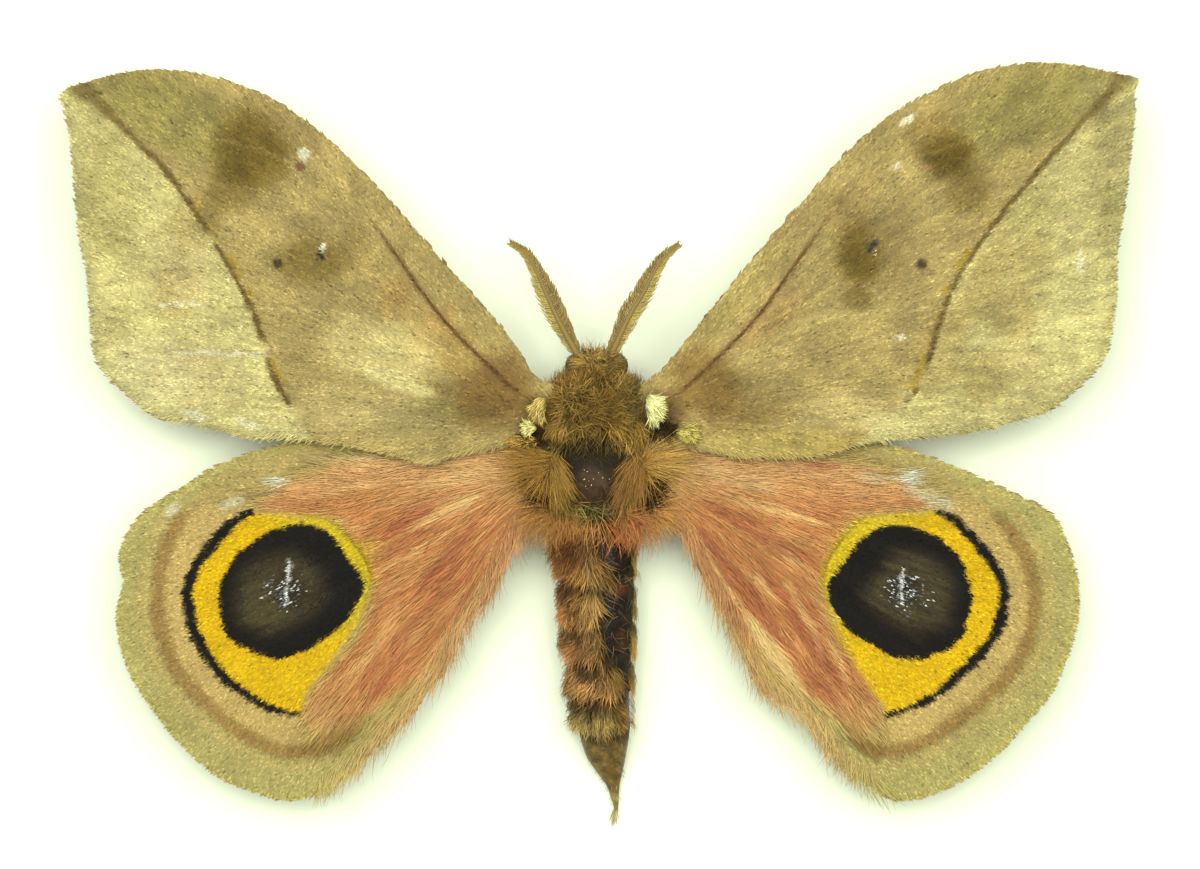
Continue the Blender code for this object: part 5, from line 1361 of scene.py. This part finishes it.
def make_feeler(side, material):
    """A ringed shaft, with close woolly branches on its outer side and darker ones on its inner side."""
    draw = np.random.default_rng(500 + side)
    flat = spaced(smooth_path(FEELER_ROUTES[side], 8), FEELER_STEP)
    share = np.linspace(0.0, 1.0, len(flat))
    path = np.column_stack([flat, FEELER_Z + FEELER_RISE * share])
    rings = path[::3]
    radii = FEELER_SHAFT * (1 - 0.7 * share[::3]) * (1 + 0.12 * (np.arange(len(rings)) % 3 == 0))
    parts = [tube_part(rings, radii, 10, SHAFT_GOLD, (0.5, 0.5))]
    for hand in (-1, 1):
        look = OUTER_BRANCHES if hand == side else INNER_BRANCHES
        for place in range(look[0], len(path) - 2, look[0]):
            along = place / len(path)
            reach = look[1] * min(1.0, 0.6 + 1.6 * along, 0.2 + 1.5 * (1 - along))
            ahead = path[place + 1] - path[place - 1]
            ahead = ahead / np.linalg.norm(ahead)
            across = hand * np.cross(ahead, (0.0, 0.0, 1.0))
            for hang in look[5]:
                spot_place = (0.1 + 0.8 * along, 0.5 + hand * 0.2)
                parts += feeler_branch(path[place], ahead, across, reach, hang, look, spot_place, draw)
    name = SIDE_NAMES[side]
    return mesh_piece("feeler_" + name, joined(parts), material, ["antenna_" + name])


def make_eye(side, material):
    """A finely rounded dome in the place of the eye's solid."""
    low, high = np.array(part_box("eye_" + SIDE_NAMES[side])) / METRES
    _, middle_y, middle_z = (low + high) / 2
    radius = (high[1] - low[1]) / 2
    reach = high[0] - low[0]
    base = low[0] if side > 0 else high[0]
    rings, around = 14, 32
    turn = np.tile(2 * np.pi * np.arange(around) / around, rings)
    fall = np.repeat(np.arange(rings) / rings * math.pi / 2, around)
    points = np.column_stack([
        base + side * (reach * np.sin(fall) - 0.25), middle_y + radius * np.cos(fall) * np.cos(turn),
        middle_z + radius * np.cos(fall) * np.sin(turn),
    ])
    ends = [(base - side * 0.3, middle_y, middle_z), (base + side * (reach - 0.25), middle_y, middle_z)]
    points = np.vstack([points, ends])
    faces = ring_faces(rings, around)
    if side > 0:
        faces = faces[:, ::-1]
    places = 0.5 + (points[:, 1:] - (middle_y, middle_z)) * 0.35
    part = (points, faces, plain(linear(FACET_BROWN), points), places)
    return mesh_piece("eye_dome_" + SIDE_NAMES[side], part, material, ["eye_" + SIDE_NAMES[side]])


def make_leg(leg, side, material):
    """A folded woolly leg."""
    draw = np.random.default_rng(700 + 10 * len(leg) + side)
    route = np.array([(BODY_X + side * x, y, z) for x, y, z in LEG_PATHS[leg]])
    knots = smooth_path(np.column_stack([route, LEG_RADII]), 6)
    path, radii = knots[:, :3], knots[:, 3]
    points, faces = tube(path, radii, 14)
    count = LEG_TUFTS
    place = draw.integers(1, len(path) - 2, count)
    ahead = unit(path[place + 1] - path[place - 1])
    across = unit(np.cross(ahead, np.array([[0.0, 0.0, 1.0]])) + 1e-6)
    upward = np.cross(across, ahead)
    turn = draw.uniform(0.0, 2 * math.pi, count)
    ups = across * np.cos(turn)[:, None] + upward * np.sin(turn)[:, None]
    roots = path[place] + ups * (radii[place] * 0.9)[:, None]
    lies = unit(ahead + ups * 0.35 + draw.normal(0, 0.15, (count, 3)))
    size = np.interp(place, [0, len(path) * 0.6, len(path)], [1.0, 0.7, 0.3])
    colours = linear(np.array(LEG_WOOL) * draw.normal(1.0, 0.12, count)[:, None])
    wool = hairs(
        roots, lies, ups, size * draw.uniform(0.6, 1.1, count), np.full(count, LEG_TUFT_WIDTH), 0.15 * size,
        draw.normal(0, 0.08, count), colours, 0.5 + roots[:, :2] / 60,
    )
    part = joined([(points, faces, plain(linear(LEG_BROWN), points), 0.5 + points[:, :2] / 60), wool])
    part[0][:, 2] = np.maximum(part[0][:, 2], 0.01)
    name = SIDE_NAMES[side]
    return mesh_piece(leg + "_leg_" + name, part, material, ["leg_" + leg + "_" + name])


def add_node(material, kind, **settings):
    """A shader node with its inputs set. An underscore in a name stands for a space."""
    node = material.node_tree.nodes.new("ShaderNode" + kind)
    for name, value in settings.items():
        node.inputs[name.replace("_", " ")].default_value = value
    return node


def add_attribute(material, name):
    node = add_node(material, "Attribute")
    node.attribute_name = name
    return node


def surface(name, roughness, grain, contrast, bump, specular=0.5):
    """A material that takes its colour from the tint, varied by fine noise that also roughens it."""
    material = bpy.data.materials.new(name)
    material.use_nodes = True
    link = material.node_tree.links.new
    shader = material.node_tree.nodes["Principled BSDF"]
    shader.inputs["Specular IOR Level"].default_value = specular
    fine = add_node(material, "TexNoise", Scale=1.0 / (grain * METRES), Detail=3.0)
    link(add_node(material, "TexCoord").outputs["Object"], fine.inputs["Vector"])
    least, most = 1.0 - contrast, 1.0 + contrast
    spread = add_node(material, "MapRange", From_Min=0.3, From_Max=0.7, To_Min=least, To_Max=most)
    link(fine.outputs["Fac"], spread.inputs["Value"])
    mix = add_node(material, "VectorMath")
    mix.operation = "SCALE"
    link(add_attribute(material, "Tint").outputs["Color"], mix.inputs[0])
    link(spread.outputs["Result"], mix.inputs["Scale"])
    link(mix.outputs["Vector"], shader.inputs["Base Color"])
    rough = add_node(material, "MapRange", To_Min=roughness[0], To_Max=roughness[1])
    link(fine.outputs["Fac"], rough.inputs["Value"])
    link(rough.outputs["Result"], shader.inputs["Roughness"])
    relief = add_node(material, "Bump", Strength=bump, Distance=0.05 * METRES)
    link(fine.outputs["Fac"], relief.inputs["Height"])
    link(relief.outputs["Normal"], shader.inputs["Normal"])
    return material


def shell_surface():
    """The body's skin: matt under the hair, and glossy shell where the Gloss value is near 1."""
    material = surface("shell", (0.3, 0.5), 0.3, 0.3, 1.0, specular=0.16)
    rough = add_node(material, "MapRange", To_Min=0.9, To_Max=0.22)
    link = material.node_tree.links.new
    link(add_attribute(material, "Gloss").outputs["Fac"], rough.inputs["Value"])
    link(rough.outputs["Result"], material.node_tree.nodes["Principled BSDF"].inputs["Roughness"])
    return material


def eye_surface():
    """Dull and finely netted, as the eye of a dried moth is."""
    material = surface("eye", (0.35, 0.5), 0.3, 0.2, 0.2, specular=0.2)
    cells = add_node(material, "TexVoronoi", Scale=1.0 / (0.07 * METRES))
    relief = material.node_tree.nodes["Bump"]
    relief.inputs["Distance"].default_value = 0.02 * METRES
    relief.invert = True
    link = material.node_tree.links.new
    link(add_node(material, "TexCoord").outputs["Object"], cells.inputs["Vector"])
    link(cells.outputs["Distance"], relief.inputs["Height"])
    return material


def make_floor():
    mesh = bpy.data.meshes.new("floor")
    corners = [(-1, -1), (1, -1), (1, 1), (-1, 1)]
    mesh.from_pydata([(FLOOR_HALF * x, FLOOR_HALF * y, 0) for x, y in corners], [], [(0, 1, 2, 3)])
    material = bpy.data.materials.new("floor")
    material.use_nodes = True
    shader = material.node_tree.nodes["Principled BSDF"]
    shader.inputs["Base Color"].default_value = FLOOR_COLOUR
    shader.inputs["Roughness"].default_value = 0.9
    mesh.materials.append(material)
    floor = bpy.data.objects.new("floor", mesh)
    bpy.context.scene.collection.objects.link(floor)


def add_light(name, place, size, power):
    light = bpy.data.lights.new(name, "AREA")
    light.color = LIGHT_TINT
    light.size = size
    light.energy = power
    item = bpy.data.objects.new(name, light)
    item.location = place
    item.rotation_euler = (-Vector(place)).to_track_quat("-Z", "Y").to_euler()
    bpy.context.scene.collection.objects.link(item)


def make_studio():
    """Soft even light from all round, stronger from above in front, and the camera straight above."""
    make_floor()
    world = bpy.data.worlds.new("studio")
    bpy.context.scene.world = world
    world.use_nodes = True
    background = world.node_tree.nodes["Background"]
    background.inputs["Color"].default_value = (*LIGHT_TINT, 1.0)
    background.inputs["Strength"].default_value = WORLD_STRENGTH
    for name, (place, size, power) in LIGHTS.items():
        add_light(name, place, size, power)
    camera_data = bpy.data.cameras.new("camera")
    camera_data.lens = 100.0
    camera_data.sensor_width = 36.0
    camera_data.clip_start = 0.01
    camera = bpy.data.objects.new("camera", camera_data)
    camera.location = CAMERA_PLACE
    bpy.context.scene.collection.objects.link(camera)
    bpy.context.scene.camera = camera
    bpy.context.scene.view_settings.view_transform = "Standard"


def build():
    wing_skin = surface("wing_membrane", (0.6, 0.85), 0.3, 0.1, 0.4, specular=0.15)
    wing_scales = surface("wing_scales", (0.6, 0.85), 0.12, 0.1, 0.2, specular=0.12)
    wing_hair = surface("wing_hair", (0.5, 0.75), 0.15, 0.06, 0.1, specular=0.15)
    fur = surface("fur", (0.5, 0.75), 0.1, 0.12, 0.2, specular=0.15)
    feeler = surface("feeler", (0.5, 0.75), 0.1, 0.15, 0.3)
    leg = surface("leg", (0.5, 0.8), 0.1, 0.15, 0.3)
    for side in (-1, 1):
        for kind in ("forewing", "hindwing"):
            make_membrane(kind, side, wing_skin)
            make_scale_coat(kind, side, 1, wing_scales)
            make_scale_coat(kind, side, -1, wing_scales)
            make_wing_hair(kind, side, wing_hair)
        make_feeler(side, feeler)
        for name in LEG_PATHS:
            make_leg(name, side, leg)
    eye = eye_surface()
    for side in (-1, 1):
        make_eye(side, eye)
    make_body_skin(shell_surface())
    for name, rows in BODY_HAIR.items():
        make_body_hair(name, rows + (ring_rows() if name == "abdomen_hair" else []), fur)
    make_tufts(fur)


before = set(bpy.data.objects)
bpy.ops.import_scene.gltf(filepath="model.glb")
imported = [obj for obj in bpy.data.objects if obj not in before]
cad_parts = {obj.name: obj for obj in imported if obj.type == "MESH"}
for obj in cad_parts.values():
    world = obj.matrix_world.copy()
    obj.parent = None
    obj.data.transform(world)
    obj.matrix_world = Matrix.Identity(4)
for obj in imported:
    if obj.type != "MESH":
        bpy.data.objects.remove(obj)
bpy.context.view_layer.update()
build()
make_studio()
